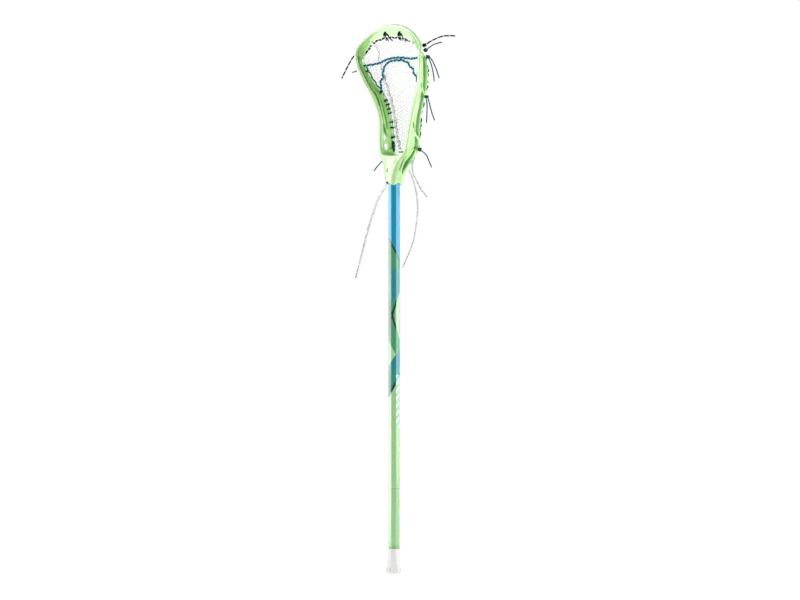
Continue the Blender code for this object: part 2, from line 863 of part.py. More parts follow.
def make_laces(surface):
    """The two shooting laces across the pocket."""
    for name, route, count in (
        ("shooting_string_upper", UPPER_LACE_ROUTE, 30),
        ("shooting_string_lower", LOWER_LACE_ROUTE, 38),
    ):
        points = spline_points(on_pocket(surface, route, 1, LACE_LAYER), count)
        tube(name, points, LACE_RADIUS, "teal_string")


def make_knots():
    """A round stopper knot outside the wall for each laced end."""
    for name, place in KNOTS.items():
        profile = []
        for ring in range(1, 6):
            angle = math.pi * ring / 6
            profile.append((KNOT_RADIUS * math.sin(angle), KNOT_RADIUS * math.cos(angle)))
        colour = "top_string" if name.startswith("top") else "teal_string"
        knot = turned(name, profile, 10, colour, math.radians(60))
        knot.location = Vector(place) * MM


def make_tails():
    """The free ends, a point every two or three diameters."""
    for name, route in TAILS.items():
        radius = TAIL_RADII.get(name, TAIL_RADIUS)
        control = [Vector(p) * MM for p in route]
        length = sum((b - a).length for a, b in zip(control, control[1:]))
        count = max(8, round(length / (radius * 5)) + 1)
        if name.startswith("leather"):
            colour = "leather"
        elif name.startswith("top"):
            colour = "top_string"
        else:
            colour = "teal_string"
        tube(name, spline_points(control, count), radius, colour)


def main():
    clear_scene()
    path = rim_path()
    surface = pocket_surface(path)
    make_head(path)
    make_shaft()
    make_end_cap()
    make_screw()
    make_pocket(path, surface)
    make_leather("leather_right", surface, 1)
    make_leather("leather_left", surface, -1)
    make_edge_strings(path)
    make_laces(surface)
    make_knots()
    make_tails()


main()
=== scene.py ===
"""Looks of a strung lacrosse stick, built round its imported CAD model.

Order: curves, meshes and materials, then camera, free cords, stage and lights, head,
shaft and cap, pocket and leathers, laces, strings and knots. Everything is in metres
in the CAD's frame: +Z up the shaft, the head's open face along -Y, X across the head.
"""

import math

import bmesh
import bpy
import numpy as np
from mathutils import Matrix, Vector


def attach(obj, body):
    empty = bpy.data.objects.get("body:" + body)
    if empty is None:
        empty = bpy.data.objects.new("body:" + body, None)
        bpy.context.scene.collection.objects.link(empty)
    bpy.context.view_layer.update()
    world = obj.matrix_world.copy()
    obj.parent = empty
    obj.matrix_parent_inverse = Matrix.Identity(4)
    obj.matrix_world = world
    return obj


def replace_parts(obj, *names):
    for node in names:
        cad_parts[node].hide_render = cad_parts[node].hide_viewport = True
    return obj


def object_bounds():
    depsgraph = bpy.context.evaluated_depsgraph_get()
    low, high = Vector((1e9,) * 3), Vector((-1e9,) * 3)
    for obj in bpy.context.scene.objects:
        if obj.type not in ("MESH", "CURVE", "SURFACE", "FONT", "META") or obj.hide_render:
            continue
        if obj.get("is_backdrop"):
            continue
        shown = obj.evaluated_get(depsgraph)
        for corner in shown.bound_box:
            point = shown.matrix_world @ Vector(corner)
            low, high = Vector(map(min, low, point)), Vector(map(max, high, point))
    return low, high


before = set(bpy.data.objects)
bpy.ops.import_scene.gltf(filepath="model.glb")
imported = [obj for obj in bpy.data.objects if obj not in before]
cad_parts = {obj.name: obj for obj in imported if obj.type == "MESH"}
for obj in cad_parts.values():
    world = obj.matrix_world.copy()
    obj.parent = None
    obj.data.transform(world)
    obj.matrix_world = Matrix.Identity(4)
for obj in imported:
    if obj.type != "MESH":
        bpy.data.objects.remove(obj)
cad_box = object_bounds()

MM = 0.001
STICK = "stick"

# Camera.
VIEW_AZIMUTH = math.radians(50)
VIEW_DISTANCE = 40.0
VIEW_CENTRE = (0.0113, 0.5343)  # across the view and up
VIEW_WIDTH = 1.56
FLOOR_DROP = 0.05  # the stick is held this far above the floor, so that its cap can come off
SENSOR_WIDTH = 36.0

# Sizes shared with the CAD.
SHAFT_FLATS = 21.9 * MM
SHAFT_WALL = 1.5 * MM
SHAFT_BOTTOM = 9 * MM
SHAFT_TOP = 780 * MM
CAP_TOP = 49 * MM
SOCKET_BOTTOM = 757.5 * MM
SCREW_Z = 769 * MM
SCREW_HOLE_RADIUS = 2.3 * MM
SCREW_SEAT_RADIUS = 4.4 * MM
SCREW_SEAT_Y = 13.6 * MM
BORE_HALF = SHAFT_FLATS / 2 + 0.3 * MM  # the socket and the cap's bore, flat to middle
CORD_RADIUS = 1.15 * MM
TOP_STRING_RADIUS = 1.45 * MM
LACE_STRAND = 1.25 * MM
LEATHER_WIDTH = 5.0 * MM
LEATHER_TAIL_WIDTH = 4.4 * MM
RIM_STEPS = 76

# The rim, right half: front rail's and back rail's outer edge, in millimetres.
RIM_STATIONS = (
    ((33.0, -6.2, 811.0), (32.8, 26.0, 811.0)), ((41.2, -4.8, 823.0), (38.0, 29.0, 823.0)),
    ((45.9, -3.5, 842.4), (41.5, 30.6, 842.4)), ((51.1, 0.4, 885.3), (47.4, 28.8, 885.3)),
    ((67.6, -1.6, 924.3), (60.5, 27.0, 924.3)), ((88.5, -11.0, 963.3), (86.4, 14.2, 963.3)),
    ((100.3, -19.0, 1002.3), (98.6, 0.2, 1002.3)), ((96.0, -10.0, 1031.6), (83.5, 0.6, 1019.0)),
    ((70.9, -2.4, 1051.0), (63.5, 0.2, 1034.5)), ((51.4, 0.8, 1060.8), (45.5, 0.0, 1041.2)),
    ((27.0, 2.2, 1068.8), (24.0, 0.0, 1045.4)),
)
RIM_TIP = ((0.0, 3.0, 1071.8), (0.0, 0.0, 1046.6))

# Throat sections in millimetres: height, front half-width and depth, back
# half-width and depth, corner radius.
THROAT_SECTIONS = (
    (757.5, 13.6, -13.6, 13.6, 13.6, 5.0), (763.0, 14.1, -13.9, 14.1, 14.1, 5.0),
    (769.0, 15.4, -14.3, 15.4, 15.3, 5.0), (776.0, 17.0, -13.6, 17.0, 15.8, 4.8),
    (785.0, 19.0, -13.0, 20.0, 17.0, 4.5), (794.0, 21.5, -12.0, 24.7, 19.3, 4.2),
    (803.0, 26.0, -10.6, 30.0, 23.8, 4.2), (812.0, 35.0, -8.8, 34.2, 27.4, 3.8),
    (820.0, 40.2, -6.4, 36.8, 28.8, 3.4), (829.0, 42.6, -3.8, 38.3, 29.6, 3.0),
)

# Pocket, in millimetres by height.
POCKET_BOTTOM = 821.0
POCKET_TOP = 1037.0
POCKET_SAG = (
    (821.0, 3.0), (835.0, 8.0), (860.0, 13.0), (890.0, 15.0), (920.0, 16.0), (960.0, 17.0),
    (1000.0, 13.0), (1025.0, 5.0), (1041.0, 0.5),
)
POCKET_INSET = ((1015.0, 6.8), (1028.0, 9.5), (1037.0, 16.0))
LEATHER_ROUTE = (
    (49.0, 1031.0), (50.3, 1013.0), (52.0, 997.0), (52.8, 980.0), (51.0, 965.0), (49.2, 953.0),
    (46.0, 935.0), (40.2, 914.0), (35.8, 899.0), (33.0, 886.0), (29.8, 867.0), (26.4, 849.0),
    (21.5, 837.0), (15.7, 827.0),
)
UPPER_LACE_ROUTE = (
    (-89.5, 992.6), (-66.0, 995.7), (-48.0, 998.8), (-28.0, 1004.8), (-10.0, 1007.4),
    (10.0, 1008.4), (28.0, 1007.6), (48.0, 1006.0), (66.0, 1006.4), (89.5, 1006.8),
)
LOWER_LACE_ROUTE = (
    (-60.0, 943.0), (-61.0, 959.0), (-52.0, 971.0), (-47.0, 983.0), (-38.0, 992.5),
    (-27.0, 999.0), (-11.0, 1002.6), (6.0, 1003.6), (21.0, 1003.0), (33.0, 998.4),
    (42.0, 989.0), (47.0, 978.0), (50.0, 965.0), (54.0, 952.0), (60.0, 940.0),
)

# Knots outside the walls, in millimetres.
KNOTS = {
    "top_knot_right": (93.4, -1.4, 1030.4), "scoop_knot_right": (96.4, -1.2, 1020.8),
    "shooting_knot_right": (103.0, -1.1, 1007.6), "sidewall_knot_right": (70.0, 23.2, 930.2),
    "throat_knot_right": (43.4, 28.6, 827.8), "top_knot_left": (-96.4, -1.2, 1019.0),
    "shooting_knot_left": (-101.9, 3.2, 993.0), "throat_knot_left": (-43.4, 28.6, 827.8),
}

# Free ends, in millimetres, each from just outside its knot or hole to its tip.
TAILS = {
    "top_tail_right": (
        (95.5, 1.0, 1032.3), (105.3, 11.9, 1040.9), (114.7, 26.2, 1047.7),
        (122.3, 36.9, 1048.7), (129.3, 48.3, 1048.5),
    ),
    "top_tail_left": (
        (-99.5, -3.3, 1018.4), (-106.0, -7.6, 1014.5), (-113.7, -11.0, 1007.2),
        (-123.3, -16.2, 989.2), (-132.7, -22.8, 966.8),
    ),
    "scoop_tail_right": (
        (98.7, 1.1, 1023.0), (107.6, 10.0, 1031.5), (113.9, 15.9, 1034.3),
        (120.0, 21.7, 1036.2),
    ),
    "shooting_tail_right_1": (
        (104.3, 0.6, 1004.4), (107.8, 4.2, 991.2), (110.6, 6.4, 976.0), (111.9, 7.9, 959.6),
    ),
    "shooting_tail_right_2": (
        (107.0, 1.3, 1006.6), (111.4, 5.5, 997.0), (116.4, 10.3, 981.0), (120.4, 13.2, 965.8),
    ),
    "sidewall_tail_right_1": (
        (70.3, 23.2, 926.3), (71.9, 23.2, 912.6), (71.9, 23.0, 899.7), (71.3, 22.4, 879.4),
    ),
    "sidewall_tail_right_2": (
        (72.9, 24.6, 928.0), (76.3, 26.6, 914.0), (79.3, 29.0, 899.7), (83.6, 32.5, 883.9),
    ),
    "throat_tail_right": (
        (45.9, 30.7, 825.4), (50.1, 39.4, 817.4), (54.1, 42.9, 805.2), (57.7, 47.0, 792.7),
    ),
    "shooting_tail_left": (
        (-105.1, 4.8, 991.6), (-109.0, 6.4, 987.0), (-114.0, 1.5, 982.4), (-113.2, -8.0, 979.8),
        (-109.5, -14.6, 979.0),
    ),
    "throat_tail_left": (
        (-45.4, 26.6, 824.6), (-46.6, 20.6, 813.6), (-51.2, 10.6, 804.0), (-55.8, 3.2, 794.6),
        (-59.2, -2.0, 786.0),
    ),
    "leather_tail_left": (
        (-17.2, -6.4, 760.0), (-21.6, -10.2, 747.0), (-30.2, -16.6, 727.4),
        (-41.6, -23.9, 690.5), (-49.8, -28.2, 661.0), (-58.8, -33.4, 620.7),
        (-69.2, -38.9, 576.2),
    ),
    "leather_tail_right": (
        (20.6, 21.0, 789.4), (24.0, 24.8, 776.9), (28.2, 28.5, 760.5), (31.9, 31.9, 737.1),
        (32.8, 32.8, 701.4), (28.6, 28.0, 654.8), (22.0, 21.6, 627.5), (13.2, 12.6, 597.5),
    ),
    "leather_end_right": (
        (33.0, 26.6, 814.1), (31.2, 22.2, 804.4), (31.2, 20.8, 794.0), (32.4, 21.8, 782.7),
        (35.8, 25.4, 771.5), (42.4, 32.1, 752.8), (51.8, 41.5, 735.7),
    ),
}


# ---------------------------------------------------------------- curves


def spline_points(control, count):
    """Points on a smooth curve through the control points, evenly by length."""
    control = [Vector(c) for c in control]
    ends = carried_on(control)
    dense = []
    steps = 12
    for i in range(1, len(ends) - 2):
        for s in range(steps):
            dense.append(catmull(ends[i - 1 : i + 3], s / steps))
    dense.append(control[-1])
    along = runs_along(dense)
    points = []
    i = 0
    for n in range(count):
        at = along[-1] * n / (count - 1)
        while i < len(along) - 2 and along[i + 1] < at:
            i += 1
        share = (at - along[i]) / (along[i + 1] - along[i])
        points.append(dense[i].lerp(dense[i + 1], min(1.0, share)))
    return points


def carried_on(control):
    """The points with one more at each end, straight on."""
    return [control[0] * 2 - control[1], *control, control[-1] * 2 - control[-2]]


def catmull(four, t):
    """A Catmull-Rom point between the second and third of four points."""
    p0, p1, p2, p3 = four
    return 0.5 * (
        p1 * 2
        + (p2 - p0) * t
        + (p0 * 2 - p1 * 5 + p2 * 4 - p3) * t * t
        + (p1 * 3 - p0 - p2 * 3 + p3) * t * t * t
    )


def length_of(points):
    """Length of a line through the points."""
    return sum((b - a).length for a, b in zip(points, points[1:]))


def runs_along(points):
    """Length along the line at each of its points."""
    runs = [0.0]
    for a, b in zip(points, points[1:]):
        runs.append(runs[-1] + (b - a).length)
    return runs


def angles(count, steps=None):
    """Evenly spaced angles of which count make a full turn."""
    return [2 * math.pi * s / count for s in range(steps or count)]


def smooth_table(rows):
    """A smooth function through (place, value) rows, flat beyond both ends."""
    slopes = []
    for i in range(len(rows)):
        (x0, y0), (x1, y1) = rows[max(0, i - 1)], rows[min(len(rows) - 1, i + 1)]
        slopes.append((y1 - y0) / (x1 - x0))

    def value(at):
        at = min(max(at, rows[0][0]), rows[-1][0])
        i = 0
        while i < len(rows) - 2 and at > rows[i + 1][0]:
            i += 1
        (x0, y0), (x1, y1) = rows[i], rows[i + 1]
        span = x1 - x0
        t = (at - x0) / span
        start = y0 * (1 + 2 * t) * (1 - t) ** 2 + y1 * t * t * (3 - 2 * t)
        return start + span * t * (1 - t) * (slopes[i] * (1 - t) - slopes[i + 1] * t)

    return value


def bell(offset, half_width):
    """1 at no offset, falling smoothly to 0 at the half-width."""
    t = min(1.0, abs(offset) / half_width)
    return (1 - t * t) ** 2


def step_up(value, low, high):
    """0 below low, 1 above high, smooth between."""
    t = min(1.0, max(0.0, (value - low) / (high - low)))
    return t * t * (3 - 2 * t)


# ---------------------------------------------------------------- meshes


def link(name, data):
    """A new object in the scene."""
    made = bpy.data.objects.new(name, data)
    bpy.context.scene.collection.objects.link(made)
    return made


def add(name, data, material, slot=None, body=STICK):
    """Link a piece with its material, and let it ride on a body."""
    piece = link(name, data)
    data.materials.clear()
    data.materials.append(material)
    if body:
        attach(piece, body)
    return piece


def make_mesh(name, vertices, faces, uvs=None, smooth=True):
    """A mesh, with UVs per vertex where they are given."""
    mesh = bpy.data.meshes.new(name)
    mesh.from_pydata([tuple(v) for v in vertices], [], faces)
    if uvs is not None:
        layer = mesh.uv_layers.new(name="UVMap")
        for loop in mesh.loops:
            layer.data[loop.index].uv = uvs[loop.vertex_index]
    if smooth:
        mesh.shade_smooth()
    return mesh


def turn_outwards(mesh):
    """Turn every face's normal outwards."""
    work = bmesh.new()
    work.from_mesh(mesh)
    bmesh.ops.recalc_face_normals(work, faces=work.faces)
    work.to_mesh(mesh)
    work.free()
    return mesh


def skin(rings, closed=False):
    """Faces between rings of equal length, with both ends shut unless they meet."""
    count = len(rings[0])
    faces = []
    for i in range(len(rings) if closed else len(rings) - 1):
        a = i * count
        b = (i + 1) % len(rings) * count
        for j in range(count):
            k = (j + 1) % count
            faces.append((a + j, a + k, b + k, b + j))
    if not closed:
        faces.append(tuple(range(count - 1, -1, -1)))
        last = (len(rings) - 1) * count
        faces.append(tuple(range(last, last + count)))
    return faces


def ring_mesh(name, rings, uvs=None, closed=False):
    """A mesh skinned over rings."""
    return make_mesh(name, [v for ring in rings for v in ring], skin(rings, closed), uvs)


def frames(points, up=None):
    """A side and an up direction across the line at each point."""
    result = []
    side = None
    for i, _ in enumerate(points):
        along = (points[min(i + 1, len(points) - 1)] - points[max(i - 1, 0)]).normalized()
        if up is not None:
            side = along.cross(up[i]).normalized()
        elif side is None:
            side = along.orthogonal().normalized()
        else:
            side = (side - along * side.dot(along)).normalized()
        result.append((side, side.cross(along).normalized()))
    return result


def tube(name, points, radius, sides=12, tip=True):
    """A round cord along points, its UVs in millimetres."""
    rings = []
    uvs = []
    runs = runs_along(points)
    for point, run, (side, lift) in zip(points, runs, frames(points)):
        size = radius
        if tip:
            size *= min(1.0, 0.55 + min(run, runs[-1] - run) / (radius * 1.2))
        rings.append([point + (side * math.cos(a) + lift * math.sin(a)) * size for a in angles(sides)])
        for s in range(sides):
            half_turn = abs(2 * s / sides - 1)
            uvs.append((run / MM, half_turn * math.pi * radius / MM))
    return ring_mesh(name, rings, uvs)


def strip(name, points, up, width, thickness, shaded_edge=1):
    """A flat strip with rounded edges, with painted shade along one edge (1 or -1) or neither (0).

    Its UVs run along it in millimetres and across it, -0.5 at the edge with painted shade.
    """
    outline = (
        (-0.5, 0.15), (-0.47, 0.42), (-0.40, 0.5), (-0.26, 0.5), (0.0, 0.5), (0.40, 0.5),
        (0.47, 0.42), (0.5, 0.15), (0.5, -0.15), (0.47, -0.42), (0.40, -0.5), (0.0, -0.5),
        (-0.26, -0.5), (-0.40, -0.5), (-0.47, -0.42), (-0.5, -0.15),
    )
    rings = []
    uvs = []
    for point, run, (side, lift) in zip(points, runs_along(points), frames(points, up)):
        rings.append([point + side * (a * width) + lift * (b * thickness) for a, b in outline])
        uvs += [(run / MM, a * shaded_edge if shaded_edge else 0.5) for a, _ in outline]
    return ring_mesh(name, rings, uvs)


# ---------------------------------------------------------------- materials


def srgb(red, green, blue):
    """A display colour of 0 to 255 as linear light, with full alpha."""
    linear = []
    for value in (red, green, blue):
        v = value / 255
        linear.append(v / 12.92 if v <= 0.04045 else ((v + 0.055) / 1.055) ** 2.4)
    return (*linear, 1.0)


class Nodes:
    """A node tree under construction: short calls that add and link nodes."""

    def __init__(self, owner):
        owner.use_nodes = True
        self.tree = owner.node_tree

    def node(self, kind, **settings):
        made = self.tree.nodes.new(kind)
        for key, value in settings.items():
            setattr(made, key, value)
        return made

    def feed(self, socket, value):
        """Link a socket, or set it to a plain value."""
        if isinstance(value, bpy.types.NodeSocket):
            self.tree.links.new(value, socket)
        else:
            socket.default_value = value

    def math(self, operation, *values):
        """What a Math node makes of plain numbers or other nodes' outputs."""
        made = self.node("ShaderNodeMath", operation=operation)
        for socket, value in zip(made.inputs, values):
            self.feed(socket, value)
        return made.outputs[0]

    def place(self, kind="Object"):
        """X, Y and Z of a texture coordinate, and the vector itself."""
        source = self.node("ShaderNodeTexCoord").outputs[kind]
        split = self.node("ShaderNodeSeparateXYZ")
        self.feed(split.inputs[0], source)
        return (*split.outputs[:3], source)

    def scaled(self, vector, scale):
        made = self.node("ShaderNodeVectorMath", operation="MULTIPLY")
        self.feed(made.inputs[0], vector)
        made.inputs[1].default_value = scale
        return made.outputs[0]

    def noise(self, vector, scale, detail=2.0, roughness=0.5):
        made = self.node("ShaderNodeTexNoise")
        self.feed(made.inputs["Vector"], vector)
        made.inputs["Scale"].default_value = scale
        made.inputs["Detail"].default_value = detail
        made.inputs["Roughness"].default_value = roughness
        return made.outputs[0]

    def mix(self, factor, a, b):
        made = self.node("ShaderNodeMix", data_type="RGBA")
        self.feed(made.inputs[0], factor)
        self.feed(made.inputs[6], a)
        self.feed(made.inputs[7], b)
        return made.outputs[2]

    def ramp(self, value, low, high, out_low=0.0, out_high=1.0):
        """Map a value smoothly from one range to another."""
        made = self.node("ShaderNodeMapRange", interpolation_type="SMOOTHSTEP")
        self.feed(made.inputs[0], value)
        for socket, number in zip(made.inputs[1:5], (low, high, out_low, out_high)):
            self.feed(socket, number)
        return made.outputs[0]

    def from_camera(self):
        """1 where the camera sees a surface itself, 0 for light that bounces."""
        return self.node("ShaderNodeLightPath").outputs["Is Camera Ray"]

    def both(self, a, b):
        return self.math("MULTIPLY", a, b)

    def shade(self, value, low, high, start, end):
        """A colour that runs from one display colour to another as a value rises."""
        return self.mix(self.ramp(value, low, high), srgb(*start), srgb(*end))

    def tint(self, factor, colour, *display):
        """A colour mixed towards a display colour by a factor."""
        return self.mix(factor, colour, srgb(*display))

    def wave(self, value, length):
        """A sine wave of that length along a distance."""
        return self.math("SINE", self.math("MULTIPLY", value, 2 * math.pi / length))

    def without(self, value):
        """1 less the value."""
        return self.math("SUBTRACT", 1.0, value)


class Finish(Nodes):
    """A material: its shader's plain settings, then what its nodes feed."""

    def __init__(self, name, **sockets):
        self.material = bpy.data.materials.new(name)
        super().__init__(self.material)
        self.shader = self.tree.nodes["Principled BSDF"]
        for socket, value in sockets.items():
            self.shader.inputs[socket.replace("_", " ")].default_value = value

    def colour(self, value):
        self.feed(self.shader.inputs["Base Color"], value)

    def rough(self, value):
        self.feed(self.shader.inputs["Roughness"], value)

    def bump(self, height, distance, strength=1.0):
        made = self.node("ShaderNodeBump")
        made.inputs["Strength"].default_value = strength
        made.inputs["Distance"].default_value = distance
        self.feed(made.inputs["Height"], height)
        self.feed(self.shader.inputs["Normal"], made.outputs[0])


def braid_height(finish, along, around, pitch):
    """Two crossing sets of ridges, as on a braided cord, and the first set alone."""
    one = finish.wave(finish.math("ADD", along, around), pitch)
    two = finish.wave(finish.math("SUBTRACT", along, around), pitch)
    return finish.math("MAXIMUM", one, two), one


def cord_finish(name, dark, light, pitch, tracer=None):
    """Braided cord: ridges with painted shade in the valleys between them, fuzz, and a tracer yarn if
    asked.
    """
    finish = Finish(name, Roughness=0.78, Sheen_Weight=0.08, Specular_IOR_Level=0.15)
    along, around, _, vector = finish.place("UV")
    height, one = braid_height(finish, along, around, pitch)
    fuzz = finish.noise(vector, 3.5, 4.0)
    # Painted shade: the dark colour in the braid's valleys, the light one on its ridges.
    shade = finish.ramp(height, -0.6, 0.9)
    shade = finish.both(shade, finish.math("MULTIPLY_ADD", fuzz, 0.5, 0.7))
    colour = finish.mix(shade, dark, light)
    if tracer:
        spacing, width, tone = tracer
        slow = finish.math("MULTIPLY_ADD", around, 0.55, along)
        shown = finish.ramp(finish.wave(slow, spacing), width, width + 0.16)
        shown = finish.both(shown, finish.ramp(one, -0.9, 0.1, 0.55, 1.0))
        colour = finish.mix(shown, colour, tone)
    finish.colour(colour)
    finish.bump(finish.math("ADD", height, fuzz), 0.00022, 0.9)
    return finish.material


# Thin white pieces that light passes through, and the white of a painted glow that their emission
# adds, though they are no lamp.
TRANSLUCENT_AND_GLOWING = {
    "Subsurface_Scale": 0.002, "Subsurface_Radius": (1.0, 1.0, 1.0),
    "Emission_Color": (1.0, 1.0, 1.0, 1.0),
}


def leather_finish():
    """White tanned leather with grain, painted shade in dashes along one edge, and a painted glow."""
    # Painted glow: the emission lifts the leather's white, though it is no lamp.
    finish = Finish(
        "leather", Roughness=0.62, Specular_IOR_Level=0.4, Subsurface_Weight=0.4,
        Emission_Strength=0.08, **TRANSLUCENT_AND_GLOWING,
    )
    _, _, _, vector = finish.place()
    grain = finish.node("ShaderNodeTexVoronoi", feature="F1")
    finish.feed(grain.inputs["Vector"], vector)
    grain.inputs["Scale"].default_value = 1400.0
    stains = finish.noise(vector, 90.0, 3.0)
    colour = finish.shade(stains, 0.35, 0.7, (250, 250, 248), (232, 232, 229))
    along, across, _, _ = finish.place("UV")
    # Painted shade: dashes of dark grey along one edge, as the strip's shadow side.
    shade_dashes = finish.ramp(finish.noise(along, 0.16, 2.0), 0.42, 0.56)
    shaded_edge = finish.both(shade_dashes, finish.ramp(across, -0.32, -0.24, 0.9, 0.0))
    finish.colour(finish.tint(shaded_edge, colour, 72, 70, 66))
    finish.rough(finish.ramp(stains, 0.3, 0.7, 0.5, 0.72))
    finish.bump(grain.outputs["Distance"], 0.0001, 0.6)
    return finish.material


def mesh_finish():
    """Soft white mesh yarn: fine twisted fibres, a faint soiling, and a painted glow from its
    emission.
    """
    # Painted glow: the emission lifts the yarn's white, though it is no lamp.
    finish = Finish(
        "pocket_mesh", Roughness=0.85, Sheen_Weight=0.4, Specular_IOR_Level=0.25,
        Subsurface_Weight=0.5, Emission_Strength=0.12, **TRANSLUCENT_AND_GLOWING,
    )
    _, _, _, vector = finish.place()
    fibres = finish.noise(vector, 1500.0, 3.0, 0.7)
    streaks = finish.noise(finish.scaled(vector, (1.0, 1.0, 0.22)), 300.0, 1.0)
    colour = finish.shade(fibres, 0.3, 0.75, (244, 244, 244), (255, 255, 255))
    colour = finish.tint(finish.ramp(streaks, 0.58, 0.7, 0.0, 0.55), colour, 196, 188, 192)
    finish.colour(colour)
    finish.bump(fibres, 0.00025, 0.8)
    return finish.material


def head_finish():
    """Moulded nylon in pale lime, satin gloss, with painted shade in its hollows and at the scoop's
    top, painted highlights on its edges and painted light low on the throat.
    """
    finish = Finish(
        "head_plastic", Roughness=0.3, Specular_IOR_Level=0.6, Coat_Weight=1.0,
        Coat_Roughness=0.18, Subsurface_Weight=0.1, Subsurface_Scale=0.004,
        Subsurface_Radius=(0.6, 1.0, 0.35),
    )
    _, _, z, vector = finish.place()
    flow = finish.noise(finish.scaled(vector, (1.0, 1.0, 0.25)), 45.0, 3.0)
    colour = finish.shade(flow, 0.3, 0.7, (160, 222, 118), (168, 229, 128))
    hollow = finish.node("ShaderNodeAttribute", attribute_name="hollow").outputs["Fac"]
    # Painted shade: darker towards the top of the scoop.
    colour = finish.tint(finish.ramp(z, 1.02, 1.06, 0.0, 0.4), colour, 140, 208, 96)
    # Painted light: paler low on the throat.
    colour = finish.tint(finish.ramp(z, 0.8, 0.83, 0.35, 0.0), colour, 216, 242, 198)
    # Painted shade: darker deep green in the hollows, as if shade fell there.
    painted_hollow_shade = finish.ramp(hollow, 0.1, 0.8)
    colour = finish.tint(painted_hollow_shade, colour, 50, 132, 12)
    finish.feed(finish.shader.inputs["Coat Weight"], finish.without(painted_hollow_shade))
    # Painted highlight: paler on the rounded edges, more so higher up.
    edge = finish.ramp(hollow, -1.3, -0.2, 1.0, 0.0)
    edge = finish.both(edge, finish.ramp(z, 0.82, 0.84, 0.2, 0.8))
    finish.colour(finish.tint(edge, colour, 220, 252, 196))
    fine = finish.noise(vector, 900.0, 2.0)
    finish.rough(finish.ramp(fine, 0.3, 0.7, 0.24, 0.36))
    finish.bump(fine, 0.00003, 0.25)
    return finish.material


TEAL = cord_finish("teal_string", srgb(0, 38, 48), srgb(2, 98, 114), 2.6)
# A pale and a deep teal: on the laces they are lit and shaded copies, painted light and shade on the
# two strands.
TEAL_PALE = cord_finish("teal_string_pale", srgb(10, 112, 144), srgb(70, 190, 224), 2.6)
TEAL_DEEP = cord_finish("teal_string_deep", srgb(0, 34, 38), srgb(0, 92, 92), 2.6)
TRACER = (12.0, 0.68, srgb(236, 236, 234))  # spacing in millimetres, threshold and colour
TOP = cord_finish("top_string", srgb(6, 7, 7), srgb(34, 35, 36), 2.9, TRACER)
BLACK = cord_finish("top_string_black", srgb(3, 4, 4), srgb(24, 25, 25), 2.9)
LEATHER = leather_finish()
MESH = mesh_finish()
HEAD = head_finish()


# ---------------------------------------------------------------- camera


def make_camera():
    """A long lens round from the head's open face, level with the stick's middle."""
    across, up = VIEW_CENTRE
    right = Vector((math.cos(VIEW_AZIMUTH), math.sin(VIEW_AZIMUTH), 0))
    back = Vector((math.sin(VIEW_AZIMUTH), -math.cos(VIEW_AZIMUTH), 0))
    data = bpy.data.cameras.new("camera")
    data.sensor_width = SENSOR_WIDTH
    data.lens = SENSOR_WIDTH * VIEW_DISTANCE / VIEW_WIDTH
    data.clip_end = 200
    camera = link("camera", data)
    camera.location = right * across + back * VIEW_DISTANCE + Vector((0, 0, up))
    camera.rotation_euler = (math.pi / 2, 0, VIEW_AZIMUTH)
    bpy.context.scene.camera = camera


make_camera()


# ---------------------------------------------------------------- free cords


def make_tail(name, route):
    """One free end as a cord that hangs or stands out from its knot."""
    control = [Vector(p) * MM for p in route]
    leather = name.startswith("leather")
    if leather:
        radius, material, slot = LEATHER_TAIL_WIDTH / 2, LEATHER, "leather"
    elif name.startswith("top"):
        radius, material, slot = TOP_STRING_RADIUS, TOP, "top_string"
    else:
        radius, material, slot = CORD_RADIUS, TEAL, "teal_string"
    count = max(16, round(length_of(control) / (1.2 * MM)))
    points = spline_points(control, count)
    if leather:
        up = [leather_facing(i / (count - 1)) for i in range(count)]
        mesh = strip(name, points, up, LEATHER_TAIL_WIDTH, 2.2 * MM, shaded_edge=-1)
    else:
        mesh = tube(name, points, radius)
    piece = add(f"{name}_cord", mesh, material, slot)
    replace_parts(piece, name)
    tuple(points[0])
    length_of(points)


def leather_facing(share):
    """The way a hanging leather's flat side faces, turning slowly down its length."""
    turn = VIEW_AZIMUTH + math.radians(70 * share - 30)
    return Vector((math.sin(turn), -math.cos(turn), 0.12)).normalized()


for tail_name, tail_route in TAILS.items():
    make_tail(tail_name, tail_route)


# ---------------------------------------------------------------- stage


def make_stage():
    """A wide white floor that glows a little, so that it meets the background unseen."""
    floor = Finish(
        "floor", Roughness=0.9, Specular_IOR_Level=0.0,
        Base_Color=(0.92, 0.92, 0.92, 1), Emission_Color=(1, 1, 1, 1),
    )
    glow = floor.math("MULTIPLY_ADD", floor.from_camera(), 0.45, 0.15)
    floor.feed(floor.shader.inputs["Emission Strength"], glow)
    size = 80.0
    corners = [(-size, -size, 0), (size, -size, 0), (size, size, 0), (-size, size, 0)]
    mesh = make_mesh("floor", corners, [(0, 1, 2, 3)], smooth=False)
    ground = add("floor", mesh, floor.material, body=None)
    ground.location.z = -FLOOR_DROP
    ground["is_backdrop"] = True


def make_light(name, azimuth, distance, height, size, power):
    """A soft box that faces the stick's middle from one side."""
    data = bpy.data.lights.new(name, "AREA")
    data.shape = "RECTANGLE"
    data.size, data.size_y = size
    data.energy = power
    turn = math.radians(azimuth)
    place = Vector((math.sin(turn) * distance, -math.cos(turn) * distance, height))
    light = link(name, data)
    light.location = place
    aim = Vector((0, 0, 0.62)) - place
    light.rotation_euler = aim.to_track_quat("-Z", "Y").to_euler()


